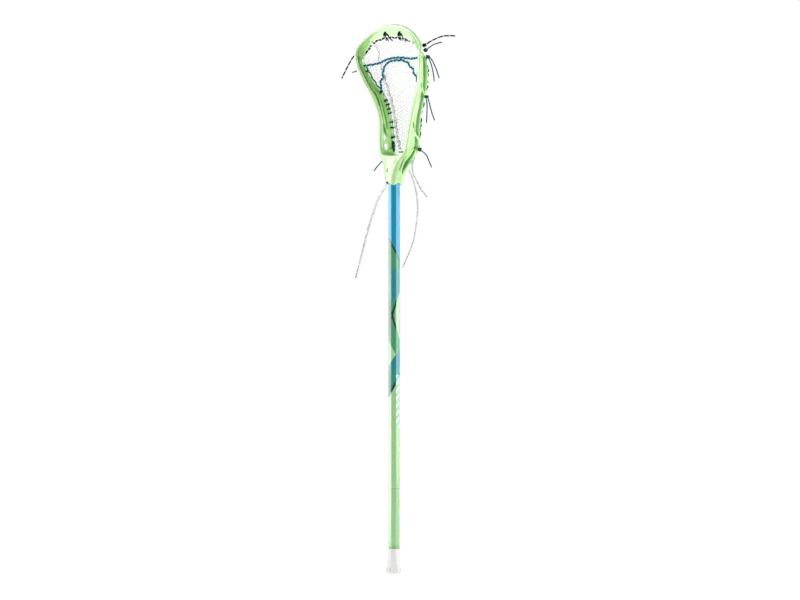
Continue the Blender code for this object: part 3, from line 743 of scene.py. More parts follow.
def make_world():
    """Even white light, dimmer from the side the camera stands on."""
    world = bpy.data.worlds.new("studio")
    nodes = Nodes(world)
    dot = nodes.node("ShaderNodeVectorMath", operation="DOT_PRODUCT")
    nodes.feed(dot.inputs[0], nodes.node("ShaderNodeTexCoord").outputs["Generated"])
    dot.inputs[1].default_value = (math.sin(VIEW_AZIMUTH), -math.cos(VIEW_AZIMUTH), 0)
    dimmed = nodes.ramp(dot.outputs["Value"], 0.45, 0.95, 0.60, 0.12)
    colour = nodes.mix(nodes.from_camera(), dimmed, (1.0, 1.0, 1.0, 1.0))
    nodes.feed(nodes.tree.nodes["Background"].inputs["Color"], colour)
    bpy.context.scene.world = world


make_stage()
make_world()
make_light("box_left", -50, 1.5, 0.85, (0.6, 1.6), 13.5)
make_light("box_right", 120, 1.5, 0.9, (0.8, 1.5), 10.5)
make_light("box_back", 160, 1.5, 0.75, (0.6, 1.7), 11)
make_light("box_top", 0, 1.6, 2.1, (0.9, 0.9), 3.5)
bpy.context.scene.view_settings.view_transform = "Standard"


# ---------------------------------------------------------------- head

HEAD_STEPS = 300
SOCKET_SCALLOP = 5.0  # millimetres by which the socket's foot rises on its four flats
SCALLOP_FADE = (757.5, 775.0)
HEAD_VOXEL = 0.8 * MM
OUTER_SHARES = [i / 30 for i in range(31)]
INNER_SHARES = [1 - i / 22 for i in range(23)]
SCOOP_START = (1003.0, 1018.0)  # the walls' recesses fade out into the scoop here
LEAF_MIDDLE = 973.0
BRIDGE_MIDDLES = (940.0, 855.0)  # slanted ridges cross the outer groove here
SHADOW_LINE_DEPTH = 8.3 * MM  # a painted shadow line on the inner edge of the right wall's front rail
SHADOW_LINE_HALF = 1.1 * MM
SHADOW_LINE_HEIGHTS = (0.822, 1.0)
SHADOW_LINE_SHADE = 0.95  # the painted shadow line is shaded as if it lay that many millimetres below the surface
INNER_ROUND = 0.12  # share of the wall over which its inner front edge is rounded
# Grooves in the wall: two ends, each (height, share of the depth), half-width and depth.
OUTER_STROKES = (
    ((880.0, 0.26), (868.0, 0.44), 1.6, 2.2), ((868.0, 0.44), (861.0, 0.52), 1.6, 2.2),
    ((957.0, 0.28), (946.0, 0.44), 1.6, 2.2),
)
INNER_STROKES = (
    ((938.0, 0.46), (912.0, 0.40), 1.8, 2.4), ((934.0, 0.62), (903.0, 0.58), 1.5, 1.8),
    ((905.0, 0.56), (868.0, 0.60), 1.9, 1.8), ((876.0, 0.33), (853.0, 0.52), 1.8, 2.4),
)
# Windows through both walls: height, length, share of the depth, half-width in millimetres.
WALL_WINDOWS = ((851.5, 13.0, 0.42, 2.9), (834.0, 15.0, 0.46, 3.8))
RIGHT_WINDOW_NARROW = 0.5
MOUTH_OUTLINE = (
    (12.0, 816.0), (22.0, 817.0), (29.0, 820.0), (32.5, 824.5), (34.1, 829.0), (34.7, 838.0),
)
MOUTH_TAPER = -2.7  # change of the mouth's width per metre of depth
MOUTH_MIDDLE = 11.6 * MM
# The hollow above the socket: height, front half-width and depth, back half-width and depth.
CAVITY_SECTIONS = (
    (780.0, 8.5, -8.6, 8.5, 9.0), (795.0, 16.0, -8.4, 18.0, 14.0),
    (808.0, 22.0, -7.0, 22.0, 18.0),
)
# The scoop's lacing holes: x, height and radius, for the top string and for the leathers.
SCOOP_HOLES = ((20.5, 1056.5, 1.9), (-23.0, 1056.5, 1.9), (66.0, 1038.5, 2.6), (-66.0, 1038.5, 2.6))
# Carvings in the throat's sides by height and share of the depth; in its front by x and height.
SIDE_LEAF = ((835.0, 0.82), (824.0, 0.70), (811.0, 0.63), (797.0, 0.62), (776.0, 0.60))
SIDE_GROOVE = ((820.0, 0.15), (810.0, 0.24), (800.0, 0.30), (790.0, 0.33), (779.0, 0.35))
CORNER_CHANNEL = (818.0, 812.0, 806.0, 798.0, 790.0, 782.0, 774.0, 764.0)
FRONT_SLIT = ((-6.4, 793.0), (-6.6, 781.0))
FRONT_CREASE = ((20.0, 814.0), (15.0, 804.0), (10.5, 795.0))


def mirrored(point):
    """The point on the other side of the head's middle plane."""
    return Vector((-point.x, point.y, point.z))


def rim_path(steps):
    """Front edge, back edge and outward normal at each step round the rim."""
    right = [(Vector(p) * MM, Vector(q) * MM) for p, q in RIM_STATIONS]
    tip = tuple(Vector(v) * MM for v in RIM_TIP)
    left = [(mirrored(p), mirrored(q)) for p, q in reversed(right)]
    stations = right + [tip] + left
    front = spline_points([s[0] for s in stations], steps + 1)
    back = matched_points([s[0] for s in stations], [s[1] for s in stations], front)
    path = []
    for i, (p, q) in enumerate(zip(front, back)):
        before = max(0, i - 1)
        after = min(len(front) - 1, i + 1)
        tangent = front[after] + back[after] - front[before] - back[before]
        path.append((p, q, (q - p).cross(tangent).normalized()))
    return path


def matched_points(front_control, back_control, front):
    """The back edge's points that face the front edge's points."""
    dense_front = spline_points(front_control, 3000)
    dense_back = paired_spline(back_control, front_control, dense_front)
    matched = []
    i = 0
    for p in front:
        gaps = [(place - p).length for place in dense_front[i : i + 2]]
        while len(gaps) == 2 and gaps[1] <= gaps[0]:
            i += 1
            gaps = [(place - p).length for place in dense_front[i : i + 2]]
        matched.append(dense_back[i])
    return matched


def paired_spline(back_control, front_control, dense_front):
    """The back edge at the same shares of the way between stations as the front."""
    marks = []
    i = 0
    for c in front_control:
        i = min(range(i, len(dense_front)), key=lambda k: (dense_front[k] - c).length)
        marks.append(i)
    ends = carried_on(back_control)
    result = []
    span = 0
    for k in range(len(dense_front)):
        while span < len(marks) - 2 and k >= marks[span + 1]:
            span += 1
        t = (k - marks[span]) / (marks[span + 1] - marks[span])
        result.append(catmull(ends[span : span + 4], t))
    return result


def stroke_depth(strokes, height, share, depth_of_wall):
    """How deep the listed grooves are at a place on the wall, in millimetres."""
    deepest = 0.0
    for (z0, a0), (z1, a1), half, depth in strokes:
        ux, uz = (a1 - a0) * depth_of_wall, z1 - z0
        vx, vz = (share - a0) * depth_of_wall, height - z0
        t = min(1.0, max(0.0, (ux * vx + uz * vz) / (ux * ux + uz * uz)))
        away = math.hypot(vx - ux * t, vz - uz * t)
        taper = 0.45 + 0.55 * math.sin(math.pi * t)
        deepest = max(deepest, depth * bell(away, half * (0.6 + taper)))
    return deepest


def outer_depth(height, share, depth_of_wall):
    """Depth of the wall's outer face below its skin, in millimetres."""
    low = 1 - step_up(height, *SCOOP_START)
    edges = 0.9 * bell(share, 0.08) + 0.9 * bell(1 - share, 0.06)
    web = step_up(share, 0.18, 0.32) * (1 - step_up(share, 0.86, 0.97))
    leaf = bell(height - LEAF_MIDDLE, 42.0)
    bridge = max(bell(height - middle + 44.0 * (share - 0.7), 6.0) for middle in BRIDGE_MIDDLES)
    centre = 0.74 - 0.08 * leaf
    half = 0.24 + 0.08 * leaf
    groove = (3.0 + 0.3 * leaf) * (1 - 0.9 * bridge) * bell(share - centre, half) ** 0.6
    line = 1.0 * bell(share - 0.215, 0.035)
    strokes = stroke_depth(OUTER_STROKES, height, share, depth_of_wall)
    walls = max(0.5 * web + groove, line, 0.5 * web + strokes)
    return edges + low * walls + (1 - low) * 1.1 * web


def inner_depth(height, share, depth_of_wall):
    """Depth of the wall's inner face below the outer skin, in millimetres."""
    low = 1 - step_up(height, *SCOOP_START)
    rail = (0.8 + 2.8 * low) * (1 - step_up(share, 0.18, 0.32)) + 0.4 * step_up(share, 0.88, 0.95)
    t = max(0.0, 1 - share / INNER_ROUND)
    front = (1.8 + 1.4 * low) * (1 - math.sqrt(1 - t * t))
    edges = front + 0.7 * bell(1 - share, 0.06)
    strokes = stroke_depth(INNER_STROKES, height, share, depth_of_wall)
    return 5.0 + rail - edges - low * strokes


def wall_ring(p, q, outward):
    """The closed ring of the wall's section between its two edges."""
    depth_of_wall = (q - p).length / MM
    ring = []
    for shares, depth in ((OUTER_SHARES, outer_depth), (INNER_SHARES, inner_depth)):
        for share in shares:
            place = p.lerp(q, share)
            ring.append(place - outward * depth(place.z / MM, share, depth_of_wall) * MM)
    return ring


def throat_tables():
    """Smooth functions of height for each number of the throat's sections."""
    heights = [row[0] for row in THROAT_SECTIONS]
    return [
        smooth_table(list(zip(heights, [row[k] for row in THROAT_SECTIONS])))
        for k in range(1, 6)
    ]


def throat_ring(tables, height):
    """A rounded trapezoid round the throat at one height, in metres."""
    front_half, front_y, back_half, back_y, corner = (table(height) for table in tables)
    ring = [
        Vector((x, y, height))
        for x, y in (
            (-front_half + corner, front_y), (front_half - corner, front_y),
            (front_half, front_y + corner), (back_half, back_y - corner),
            (back_half - corner, back_y), (-back_half + corner, back_y),
            (-back_half, back_y - corner), (-front_half, front_y + corner),
        )
    ]
    for _ in range(3):
        cut_corners = []
        for a, b in zip(ring, ring[1:] + ring[:1]):
            cut_corners += [a.lerp(b, 0.22), a.lerp(b, 0.78)]
        ring = cut_corners
    for v in ring:
        scallop = 0.5 + 0.5 * math.cos(4 * math.atan2(v.y, v.x))
        v.z += SOCKET_SCALLOP * scallop * (1 - step_up(height, *SCALLOP_FADE))
    return [v * MM for v in ring]


def solid(name, rings):
    """A closed solid from rings, to cut or join the head and the shaft with."""
    return link(name, turn_outwards(ring_mesh(name, rings)))


def combine(target, other, operation):
    """Apply a Boolean with another solid, which is removed afterwards."""
    modifier = target.modifiers.new("bool", "BOOLEAN")
    modifier.operation = operation
    modifier.solver = "EXACT"
    modifier.use_self = operation == "UNION"
    modifier.object = other
    apply_modifiers(target)
    bpy.data.objects.remove(other, do_unlink=True)


def apply_modifiers(obj):
    """Replace the mesh by what its modifiers make of it."""
    bpy.context.view_layer.update()
    graph = bpy.context.evaluated_depsgraph_get()
    made = bpy.data.meshes.new_from_object(obj.evaluated_get(graph))
    old = obj.data
    obj.modifiers.clear()
    obj.data = made
    bpy.data.meshes.remove(old)


def octagon(half, z, edge=0.0, corner_steps=1):
    """A ring of a regular octagon with flats on the axes and rounded corners."""
    radius = half / math.cos(math.pi / 8)
    turns = [math.pi / 8 + angle for angle in angles(8)]
    corners = [Vector((radius * math.cos(a), radius * math.sin(a), z)) for a in turns]
    if not edge:
        return corners
    ring = []
    for i, corner in enumerate(corners):
        before = corner + (corners[i - 1] - corner).normalized() * edge
        after = corner + (corners[(i + 1) % 8] - corner).normalized() * edge
        for s in range(corner_steps + 1):
            t = s / corner_steps
            ring.append(before * (1 - t) ** 2 + corner * 2 * t * (1 - t) + after * t * t)
    return ring


def window_solids(path):
    """A rounded slanted bar through both walls for each window."""
    half_way = len(path) // 2
    for height, length, share, half_width in WALL_WINDOWS:
        for steps, narrow in ((path[:half_way], RIGHT_WINDOW_NARROW), (path[half_way + 1 :], 1.0)):
            p, q, outward = min(steps, key=lambda s: abs(s[0].z - height * MM))
            middle = p.lerp(q, share)
            across = (q - p).normalized() * half_width * narrow * MM
            up = outward.cross(across).normalized() * length * MM / 2
            outline = [middle + up * math.cos(a) + across * math.sin(a) for a in angles(16)]
            yield solid("window", [[v + outward * d * MM for v in outline] for d in (-14, 8)])


def side_place(tables, height, share, side):
    """A point on the throat's side, from its front corner to its back corner."""
    front_half, front_y, back_half, back_y, _ = (table(height) for table in tables)
    x = front_half + (back_half - front_half) * share
    y = front_y + (back_y - front_y) * share
    return Vector((side * x, y, height)) * MM


def carve(points, inward, half_width, depth):
    """A leaf-shaped solid sunk along points, pointed at both ends."""
    rings = []
    centre = spline_points(points, 25)
    for i, point in enumerate(centre):
        along = (centre[min(i + 1, 24)] - centre[max(i - 1, 0)]).normalized()
        across = along.cross(inward).normalized()
        size = max(0.04, math.sin(math.pi * i / 24) ** 0.7)
        wide, deep = across * (half_width * size), inward * (depth * size)
        rings.append([point + wide * math.cos(a) + deep * math.sin(a) for a in angles(14)])
    return solid("carving", rings)


def throat_carvings(tables):
    """Leaves on the sides, channels down the front corners, a slit and creases in front."""
    for side in (1, -1):
        inward = Vector((-side, 0.0, 0.0))
        for route, half_width, depth in (
            (SIDE_LEAF, 5.2 * MM, 4.8 * MM),
            (SIDE_GROOVE, 1.5 * MM, 4.2 * MM),
        ):
            points = [side_place(tables, z, share, side) for z, share in route]
            yield carve(points, inward, half_width, depth)
        points = []
        for z in CORNER_CHANNEL:
            corner = 0.3 * tables[4](z)
            points.append(Vector((side * (tables[0](z) - corner), tables[1](z) + corner, z)) * MM)
        yield carve(points, Vector((-side, 1.0, 0.0)).normalized(), 2.9 * MM, 0.9 * MM)
        points = [Vector((side * x, tables[1](z), z)) * MM for x, z in FRONT_CREASE]
        yield carve(points, Vector((0, 1, 0)), 1.3 * MM, 1.1 * MM)
    points = [Vector((x, tables[1](z), z)) * MM for x, z in FRONT_SLIT]
    yield carve(points, Vector((0, 1, 0)), 1.2 * MM, 5.0 * MM)


def drill(target, x, z, radius, low, high):
    """Cut a round hole along Y."""
    rings = [
        [Vector((x + radius * math.cos(a), y, z + radius * math.sin(a))) for a in angles(24)]
        for y in (low, high)
    ]
    combine(target, solid("drill", rings), "DIFFERENCE")


def mark_hollows(mesh, path, rounds):
    """Store how far each point lies below the smoothed-out surface, in millimetres.

    The painted shadow line along the right wall's front rail counts as sunk too, so that the material
    paints shade on it as on a hollow.
    """
    count = len(mesh.vertices)
    places = np.empty(count * 3, dtype=np.float32)
    mesh.vertices.foreach_get("co", places)
    places = places.reshape(-1, 3).astype(np.float64)
    normals = np.empty(count * 3, dtype=np.float32)
    mesh.vertices.foreach_get("normal", normals)
    ends = np.empty(len(mesh.edges) * 2, dtype=np.int32)
    mesh.edges.foreach_get("vertices", ends)
    first, second = ends.reshape(-1, 2).T
    neighbours = np.bincount(first, minlength=count) + np.bincount(second, minlength=count)
    smoothed = places.copy()
    for _ in range(rounds):
        for axis in range(3):
            line = smoothed[:, axis]
            total = np.bincount(first, line[second], count)
            total += np.bincount(second, line[first], count)
            smoothed[:, axis] = total / neighbours
    below = ((smoothed - places) * normals.reshape(-1, 3)).sum(axis=1) / MM
    # Painted shadow: a dark line along the right wall's front rail, where it meets the mesh.
    shadow_line = np.array([tuple(p - outward * SHADOW_LINE_DEPTH) for p, _, outward in path])
    low, high = SHADOW_LINE_HEIGHTS
    shadow_line = shadow_line[(shadow_line[:, 0] > 0) & (shadow_line[:, 2] > low) & (shadow_line[:, 2] < high)]
    near = (places[:, 2] > shadow_line[:, 2].min()) & (places[:, 2] < shadow_line[:, 2].max())
    for axis, reach in ((0, SHADOW_LINE_HALF), (1, 2 * MM)):
        away = places[:, axis] - np.interp(places[:, 2], shadow_line[:, 2], shadow_line[:, axis])
        near &= np.abs(away) < reach
    below[near] = SHADOW_LINE_SHADE
    layer = mesh.attributes.new("hollow", "FLOAT", "POINT")
    layer.data.foreach_set("value", below.astype(np.float32))


def make_head():
    """The moulded head, sculpted, remeshed finely and softened at its edges."""
    path = rim_path(HEAD_STEPS)
    head = solid("head_shape", [wall_ring(*step) for step in path])
    tables = throat_tables()
    low, high = THROAT_SECTIONS[0][0], THROAT_SECTIONS[-1][0]
    heights = [low + (high - low) * i / 48 for i in range(49)]
    combine(head, solid("throat", [throat_ring(tables, z) for z in heights]), "UNION")
    mouth = spline_points([Vector((x, 0, z)) * MM for x, z in MOUTH_OUTLINE], 16)
    outline = mouth + [mirrored(v) for v in reversed(mouth)]
    opening = []
    for y in (-40 * MM, 60 * MM):
        widen = 1 + MOUTH_TAPER * (y - MOUTH_MIDDLE)
        opening.append([Vector((v.x * widen, y, v.z)) for v in outline])
    combine(head, solid("mouth", opening), "DIFFERENCE")
    socket = [octagon(BORE_HALF, z) for z in (SOCKET_BOTTOM - 8 * MM, SHAFT_TOP + 0.3 * MM)]
    combine(head, solid("socket", socket), "DIFFERENCE")
    cavity = []
    for z, half_front, front_y, half_back, back_y in CAVITY_SECTIONS:
        front = [Vector((x, front_y, z)) * MM for x in (-half_front, half_front)]
        cavity.append(front + [Vector((x, back_y, z)) * MM for x in (half_back, -half_back)])
    combine(head, solid("cavity", cavity), "DIFFERENCE")
    for cutter in (*window_solids(path), *throat_carvings(tables)):
        combine(head, cutter, "DIFFERENCE")
    drill(head, 0, SCREW_Z, SCREW_HOLE_RADIUS, 8 * MM, 30 * MM)
    drill(head, 0, SCREW_Z, SCREW_SEAT_RADIUS, SCREW_SEAT_Y, 30 * MM)
    for x, z, radius in SCOOP_HOLES:
        drill(head, x * MM, z * MM, radius * MM, -20 * MM, 20 * MM)

    remesh = head.modifiers.new("remesh", "REMESH")
    remesh.mode = "VOXEL"
    remesh.voxel_size = HEAD_VOXEL
    soften = head.modifiers.new("soften", "SMOOTH")
    soften.factor = 0.5
    soften.iterations = 5
    apply_modifiers(head)
    mesh = head.data
    mesh.shade_smooth()
    mark_hollows(mesh, path, 70)
    bpy.data.objects.remove(head)
    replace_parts(add("head_moulding", mesh, HEAD, "head_plastic"), "head")


make_head()


# ---------------------------------------------------------------- shaft and cap

SHAFT_EDGE = 0.3 * MM  # bevel of the tube's ends
HELIX_DROP = 1.87  # the painted bands fall this much per unit round the shaft


class ShaftPaint(Finish):
    """Metallic paint, placed by millimetres up the shaft and round it."""

    def __init__(self):
        super().__init__(
            "shaft_paint", Metallic=0.15, Roughness=0.3, Specular_IOR_Level=0.4,
            Coat_Weight=0.6, Coat_Roughness=0.08, Coat_IOR=1.55,
        )
        x, y, z, self.vector = self.place()
        self.up = self.math("MULTIPLY", z, 1000.0)
        # Counted round from the corner left of the front flat.
        around = self.math("MULTIPLY_ADD", self.math("ARCTAN2", y, x), 11.4, 22.4)
        wrapped = self.math("LESS_THAN", around, -4.0)
        self.around = self.math("MULTIPLY_ADD", wrapped, 71.6, around)

    def line(self, start, slope):
        """Height above a slanted line, in millimetres."""
        level = self.math("MULTIPLY_ADD", self.around, slope, start)
        return self.math("SUBTRACT", self.up, level)

    def above(self, distance):
        return self.ramp(distance, -0.35, 0.35)

    def below(self, distance):
        return self.without(self.above(distance))

    def stroke(self, distance, half):
        """1 within half a width of a line; a half-width may be a node's output."""
        end = self.math("ADD", half, 0.3)
        return self.ramp(self.math("ABSOLUTE", distance), half, end, 1.0, 0.0)

    def between(self, value, low, low_end, high, high_end):
        """1 between two soft limits of a value, 0 beyond them."""
        return self.both(self.ramp(value, low, low_end), self.ramp(value, high, high_end, 1.0, 0.0))


def paint_middle(paint, front):
    """The teal field: a bluer band, finely and broadly hatched, with painted shade that makes the
    front flat duller.
    """
    band = paint.between(paint.up, 522.0, 545.0, 580.0, 606.0)
    teal = paint.shade(paint.up, 430.0, 640.0, (76, 172, 116), (70, 170, 124))
    teal = paint.tint(band, teal, 28, 150, 164)
    # Painted shade: duller teal on the front flat.
    teal = paint.mix(front, teal, paint.mix(band, srgb(76, 133, 105), srgb(80, 146, 148)))
    fine = paint.wave(paint.line(0.0, -2.3), 4.4)
    teal = paint.tint(paint.ramp(fine, 0.2, 0.8, 0.0, 0.22), teal, 34, 104, 86)
    broad = paint.wave(paint.line(0.0, 2.9), 19.0)
    return paint.tint(paint.ramp(broad, 0.5, 0.9, 0.0, 0.25), teal, 120, 190, 120)


def paint_fields(paint):
    """Blue, teal and lime fields, and the black lines between them."""
    up, around, both = paint.up, paint.around, paint.both
    top_line = paint.line(660.1, -HELIX_DROP)
    rising = paint.line(476.0, 2.9)
    falling = paint.line(536.0, -3.1)
    end_line = paint.line(342.1, 1.77)
    bite_top = paint.line(458.0, -1.65)
    bite_low = paint.line(404.0, 1.3)

    # Painted shade: the front flat gets duller colours than the flats beside it, in the olive and in
    # the lower field.
    front = paint.ramp(around, 8.0, 9.0, 1.0, 0.0)
    colour = paint.mix(paint.above(top_line), paint_middle(paint, front), srgb(0, 160, 200))
    wedge = both(both(paint.below(rising), paint.above(falling)), paint.ramp(around, 15.2, 16.4))
    colour = paint.tint(wedge, colour, 186, 216, 190)
    olive = paint.shade(around, 8.0, 9.0, (140, 190, 150), (186, 230, 172))
    colour = paint.mix(both(paint.below(bite_top), paint.above(bite_low)), colour, olive)
    deep = paint.shade(up, 372.0, 425.0, (44, 160, 136), (20, 142, 162))
    front_flat_shade = paint.shade(up, 372.0, 425.0, (48, 126, 100), (78, 148, 140))
    lower = both(paint.below(bite_low), paint.below(falling))
    colour = paint.mix(lower, colour, paint.mix(front, deep, front_flat_shade))
    lime = paint.shade(up, 60.0, 330.0, (174, 226, 164), (174, 226, 160))
    colour = paint.mix(paint.below(end_line), colour, lime)

    # The lines are broad on the flat between the front and the side, thin beyond it.
    middle = paint.between(around, 8.4, 9.2, 17.6, 18.4)
    for distance, thin, broad in (
        (top_line, 1.6, 3.0), (rising, 1.4, 5.6), (falling, 1.4, 5.2), (end_line, 1.6, 4.2),
    ):
        half = paint.math("MULTIPLY_ADD", middle, broad - thin, thin)
        colour = paint.tint(paint.stroke(distance, half), colour, 6, 18, 18)
    return colour


def paint_marks(paint, colour):
    """Plain white slanted bars on the right-hand flats, and a thin ring low down."""
    up, around, both = paint.up, paint.around, paint.both
    bars = paint.math("FRACT", paint.math("DIVIDE", paint.line(0.0, 1.2), 15.0))
    bar = paint.between(bars, 0.0, 0.05, 0.42, 0.47)
    run = paint.between(up, 286.0, 286.6, 388.0, 388.6)
    run = both(run, paint.between(around, 17.8, 18.4, 25.4, 25.9))
    colour = paint.tint(both(run, 0.75), colour, 150, 196, 190)
    colour = paint.tint(both(bar, run), colour, 238, 244, 240)
    ring = paint.stroke(paint.math("SUBTRACT", up, 166.0), 0.35)
    return paint.tint(both(ring, 0.75), colour, 70, 96, 62)


def shaft_finish():
    """The shaft's paint with its marks, flakes and scuffs, darker just above the cap, and with painted
    shade that greys the flats right of the middle one.
    """
    paint = ShaftPaint()
    colour = paint_marks(paint, paint_fields(paint))
    # Darker just above the cap.
    colour = paint.tint(paint.ramp(paint.up, 50.0, 60.0, 0.55, 0.0), colour, 128, 168, 100)
    # Painted shade: the flats right of the middle one, and round the back, greyer.
    colour = paint.tint(paint.ramp(paint.around, 17.6, 18.4, 0.0, 0.22), colour, 150, 150, 152)
    flakes = paint.noise(paint.vector, 2600.0, 1.0)
    paint.colour(paint.tint(paint.ramp(flakes, 0.6, 0.85, 0.0, 0.1), colour, 240, 250, 250))
    scuffs = paint.noise(paint.scaled(paint.vector, (1.0, 1.0, 0.12)), 160.0, 4.0)
    paint.rough(paint.ramp(scuffs, 0.35, 0.75, 0.24, 0.38))
    paint.bump(paint.noise(paint.vector, 700.0, 2.0), 0.00002, 0.2)
    return paint.material


def make_shaft():
    """The octagonal tube with rounded corners and the screw's hole, open at both ends."""
    half = SHAFT_FLATS / 2
    inner = half - SHAFT_WALL
    rings = []
    for face, z in (
        (inner, SHAFT_BOTTOM), (half - SHAFT_EDGE, SHAFT_BOTTOM),
        (half, SHAFT_BOTTOM + SHAFT_EDGE), (half, SHAFT_TOP - SHAFT_EDGE),
        (half - SHAFT_EDGE, SHAFT_TOP), (inner, SHAFT_TOP),
    ):
        rings.append(octagon(face, z, 1.3 * MM, 5))
    shape = link("shaft_shape", turn_outwards(ring_mesh("shaft_tube", rings, closed=True)))
    drill(shape, 0, SCREW_Z, SCREW_HOLE_RADIUS, 4 * MM, 20 * MM)
    mesh = shape.data
    bpy.data.objects.remove(shape)
    mesh.set_sharp_from_angle(angle=math.radians(30))
    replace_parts(add("shaft_tube", mesh, shaft_finish(), "shaft_paint"), "shaft")


def rubber_finish():
    """White moulded rubber, slightly soiled towards the foot, with a painted glow from its emission.
    """
    # Painted glow: the emission lifts the rubber's white, though it is no lamp.
    finish = Finish(
        "cap_rubber", Roughness=0.55, Specular_IOR_Level=0.12, Subsurface_Weight=0.08,
        Subsurface_Scale=0.003, Emission_Color=(1.0, 1.0, 1.0, 1.0), Emission_Strength=0.14,
    )
    _, _, z, vector = finish.place()
    speckle = finish.noise(vector, 420.0, 4.0, 0.65)
    low = finish.ramp(z, 0.0, 0.012, 0.35, 0.0)
    soil = finish.both(low, finish.ramp(finish.noise(vector, 130.0, 3.0), 0.35, 0.7))
    colour = finish.shade(speckle, 0.4, 0.8, (226, 227, 224), (218, 219, 216))
    finish.colour(finish.tint(soil, colour, 178, 175, 168))
    finish.rough(finish.ramp(speckle, 0.3, 0.7, 0.46, 0.64))
    finish.bump(speckle, 0.00006, 0.5)
    return finish.material


# The cap from its foot up: radius, height, how octagonal, depth of the bulb's dimples.
CAP_PROFILE = (
    (4.0, 0.0, 0.0, 0.0), (8.5, 0.0, 0.0, 0.0), (10.8, 0.5, 0.0, 0.0), (13.4, 1.4, 0.0, 0.4),
    (15.8, 3.0, 0.0, 1.0), (17.3, 4.9, 0.0, 1.5), (17.9, 6.8, 0.0, 1.7), (17.9, 8.8, 0.05, 1.5),
    (17.4, 10.8, 0.1, 0.9), (16.5, 12.9, 0.2, 0.35), (15.4, 15.2, 0.35, 0.0),
    (14.6, 17.4, 0.5, 0.0), (13.9, 18.9, 0.6, 0.0), (13.5, 19.6, 0.6, 0.0),
    (14.6, 20.4, 0.6, 0.0), (14.8, 21.4, 0.6, 0.0), (14.7, 23.4, 0.65, 0.0),
    (14.3, 24.4, 0.7, 0.0), (13.2, 25.2, 0.8, 0.0), (13.1, 27.0, 0.9, 0.0),
    (13.3, 36.0, 0.9, 0.0), (13.25, 46.6, 0.9, 0.0), (13.1, 47.9, 0.9, 0.0),
    (12.6, 48.7, 0.9, 0.0), (12.0, 49.0, 0.95, 0.0),
)
CAP_FLOOR = 7 * MM
CAP_AROUND = 96
CAP_DIMPLES = 12


def to_flat(angle):
    """Distance to an octagon's edge at an angle, over the distance to its flats."""
    nearest = round(angle / (math.pi / 4)) * math.pi / 4
    return 1.0 / math.cos(angle - nearest)


def make_cap():
    """The rubber cap: octagonal sleeve, bead, and a bulb with dimples."""
    rings = []
    for radius, height, eight, dimple in CAP_PROFILE:
        ring = []
        for angle in angles(CAP_AROUND):
            flat = min(to_flat(angle), 1.055) * 0.975
            out = radius * (1 + eight * (flat - 1))
            out -= dimple * max(0.0, math.cos(CAP_DIMPLES * angle)) ** 2
            ring.append(Vector((out * math.cos(angle), out * math.sin(angle), height)) * MM)
        rings.append(ring)
    for z in (CAP_TOP - 0.1 * MM, CAP_TOP - 0.8 * MM, CAP_FLOOR):
        ring = []
        for angle in angles(CAP_AROUND):
            out = BORE_HALF * to_flat(angle)
            ring.append(Vector((out * math.cos(angle), out * math.sin(angle), z)))
        rings.append(ring)
    mesh = turn_outwards(ring_mesh("butt_cap", rings))
    mesh.set_sharp_from_angle(angle=math.radians(50))
    piece = add("butt_cap", mesh, rubber_finish(), "cap_rubber", body="end_cap")
    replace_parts(piece, "end_cap")


def screw_finish():
    """Plated steel, with fine turning marks round the axis."""
    finish = Finish("screw_steel", Metallic=1.0, Roughness=0.25)
    x, _, z, vector = finish.place()
    squares = [finish.math("POWER", v, 2.0) for v in (x, finish.math("SUBTRACT", z, SCREW_Z))]
    out = finish.math("ADD", *squares)
    rings = finish.math("SINE", finish.math("MULTIPLY", finish.math("SQRT", out), 30000.0))
    finish.colour(finish.shade(rings, -1.0, 1.0, (176, 178, 182), (206, 207, 210)))
    finish.rough(finish.ramp(finish.noise(vector, 1200.0, 2.0), 0.3, 0.7, 0.2, 0.38))
    finish.bump(rings, 0.00001, 0.4)
    return finish.material


make_shaft()
make_cap()
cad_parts["head_screw"].data.materials.clear()
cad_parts["head_screw"].data.materials.append(screw_finish())


# ---------------------------------------------------------------- pocket

MESH_CELL = (7.2, 6.6)  # millimetres across and up
CELL_CORNERS = ((0.5, 0), (0.25, 0.5), (-0.25, 0.5), (-0.5, 0), (-0.25, -0.5), (0.25, -0.5))
MESH_YARN = 1.5 * MM
# The leathers' loops round the scoop's edge, in millimetres.
LEATHER_LOOP = (
    (50.0, -4.4, 1029.0), (54.5, -6.6, 1031.5), (60.0, -7.4, 1035.0), (64.5, -6.0, 1038.6),
    (67.5, -2.0, 1039.4), (68.0, 2.6, 1036.8), (65.0, 4.2, 1031.5), (59.0, 3.2, 1028.0),
)
LOOP_STEPS = 40


def pocket_edges(path):
    """The pocket's half-width and its edge's depth, as functions of height."""
    half = len(path) // 2 + 1
    rows = sorted((q.z, q.x, q.y) for _, q, _ in path[:half])
    rail = smooth_table([(z, x) for z, x, _ in rows])
    inset = smooth_table([(z * MM, gap * MM) for z, gap in POCKET_INSET])
    depth = smooth_table([(z, y - 3.0 * MM) for z, _, y in rows])
    return lambda z: rail(z) - inset(z), depth


def pocket_surface(path):
    """A function of (x, z, lift): the point that far in front of the pocket."""
    width, depth = pocket_edges(path)
    sag = smooth_table([(z * MM, s * MM) for z, s in POCKET_SAG])

    def height(x, z):
        share = min(1.0, abs(x) / width(z))
        return depth(z) + sag(z) * (1 - share * share)

    def point(x, z, lift=0.0):
        step = 1.5 * MM
        slope_x = (height(x + step, z) - height(x - step, z)) / (2 * step)
        slope_z = (height(x, z + step) - height(x, z - step)) / (2 * step)
        normal = Vector((slope_x, -1.0, slope_z)).normalized()
        return Vector((x, height(x, z), z)) + normal * lift

    return point


RIM = rim_path(RIM_STEPS)
on_pocket = pocket_surface(RIM)
pocket_width, _ = pocket_edges(RIM)


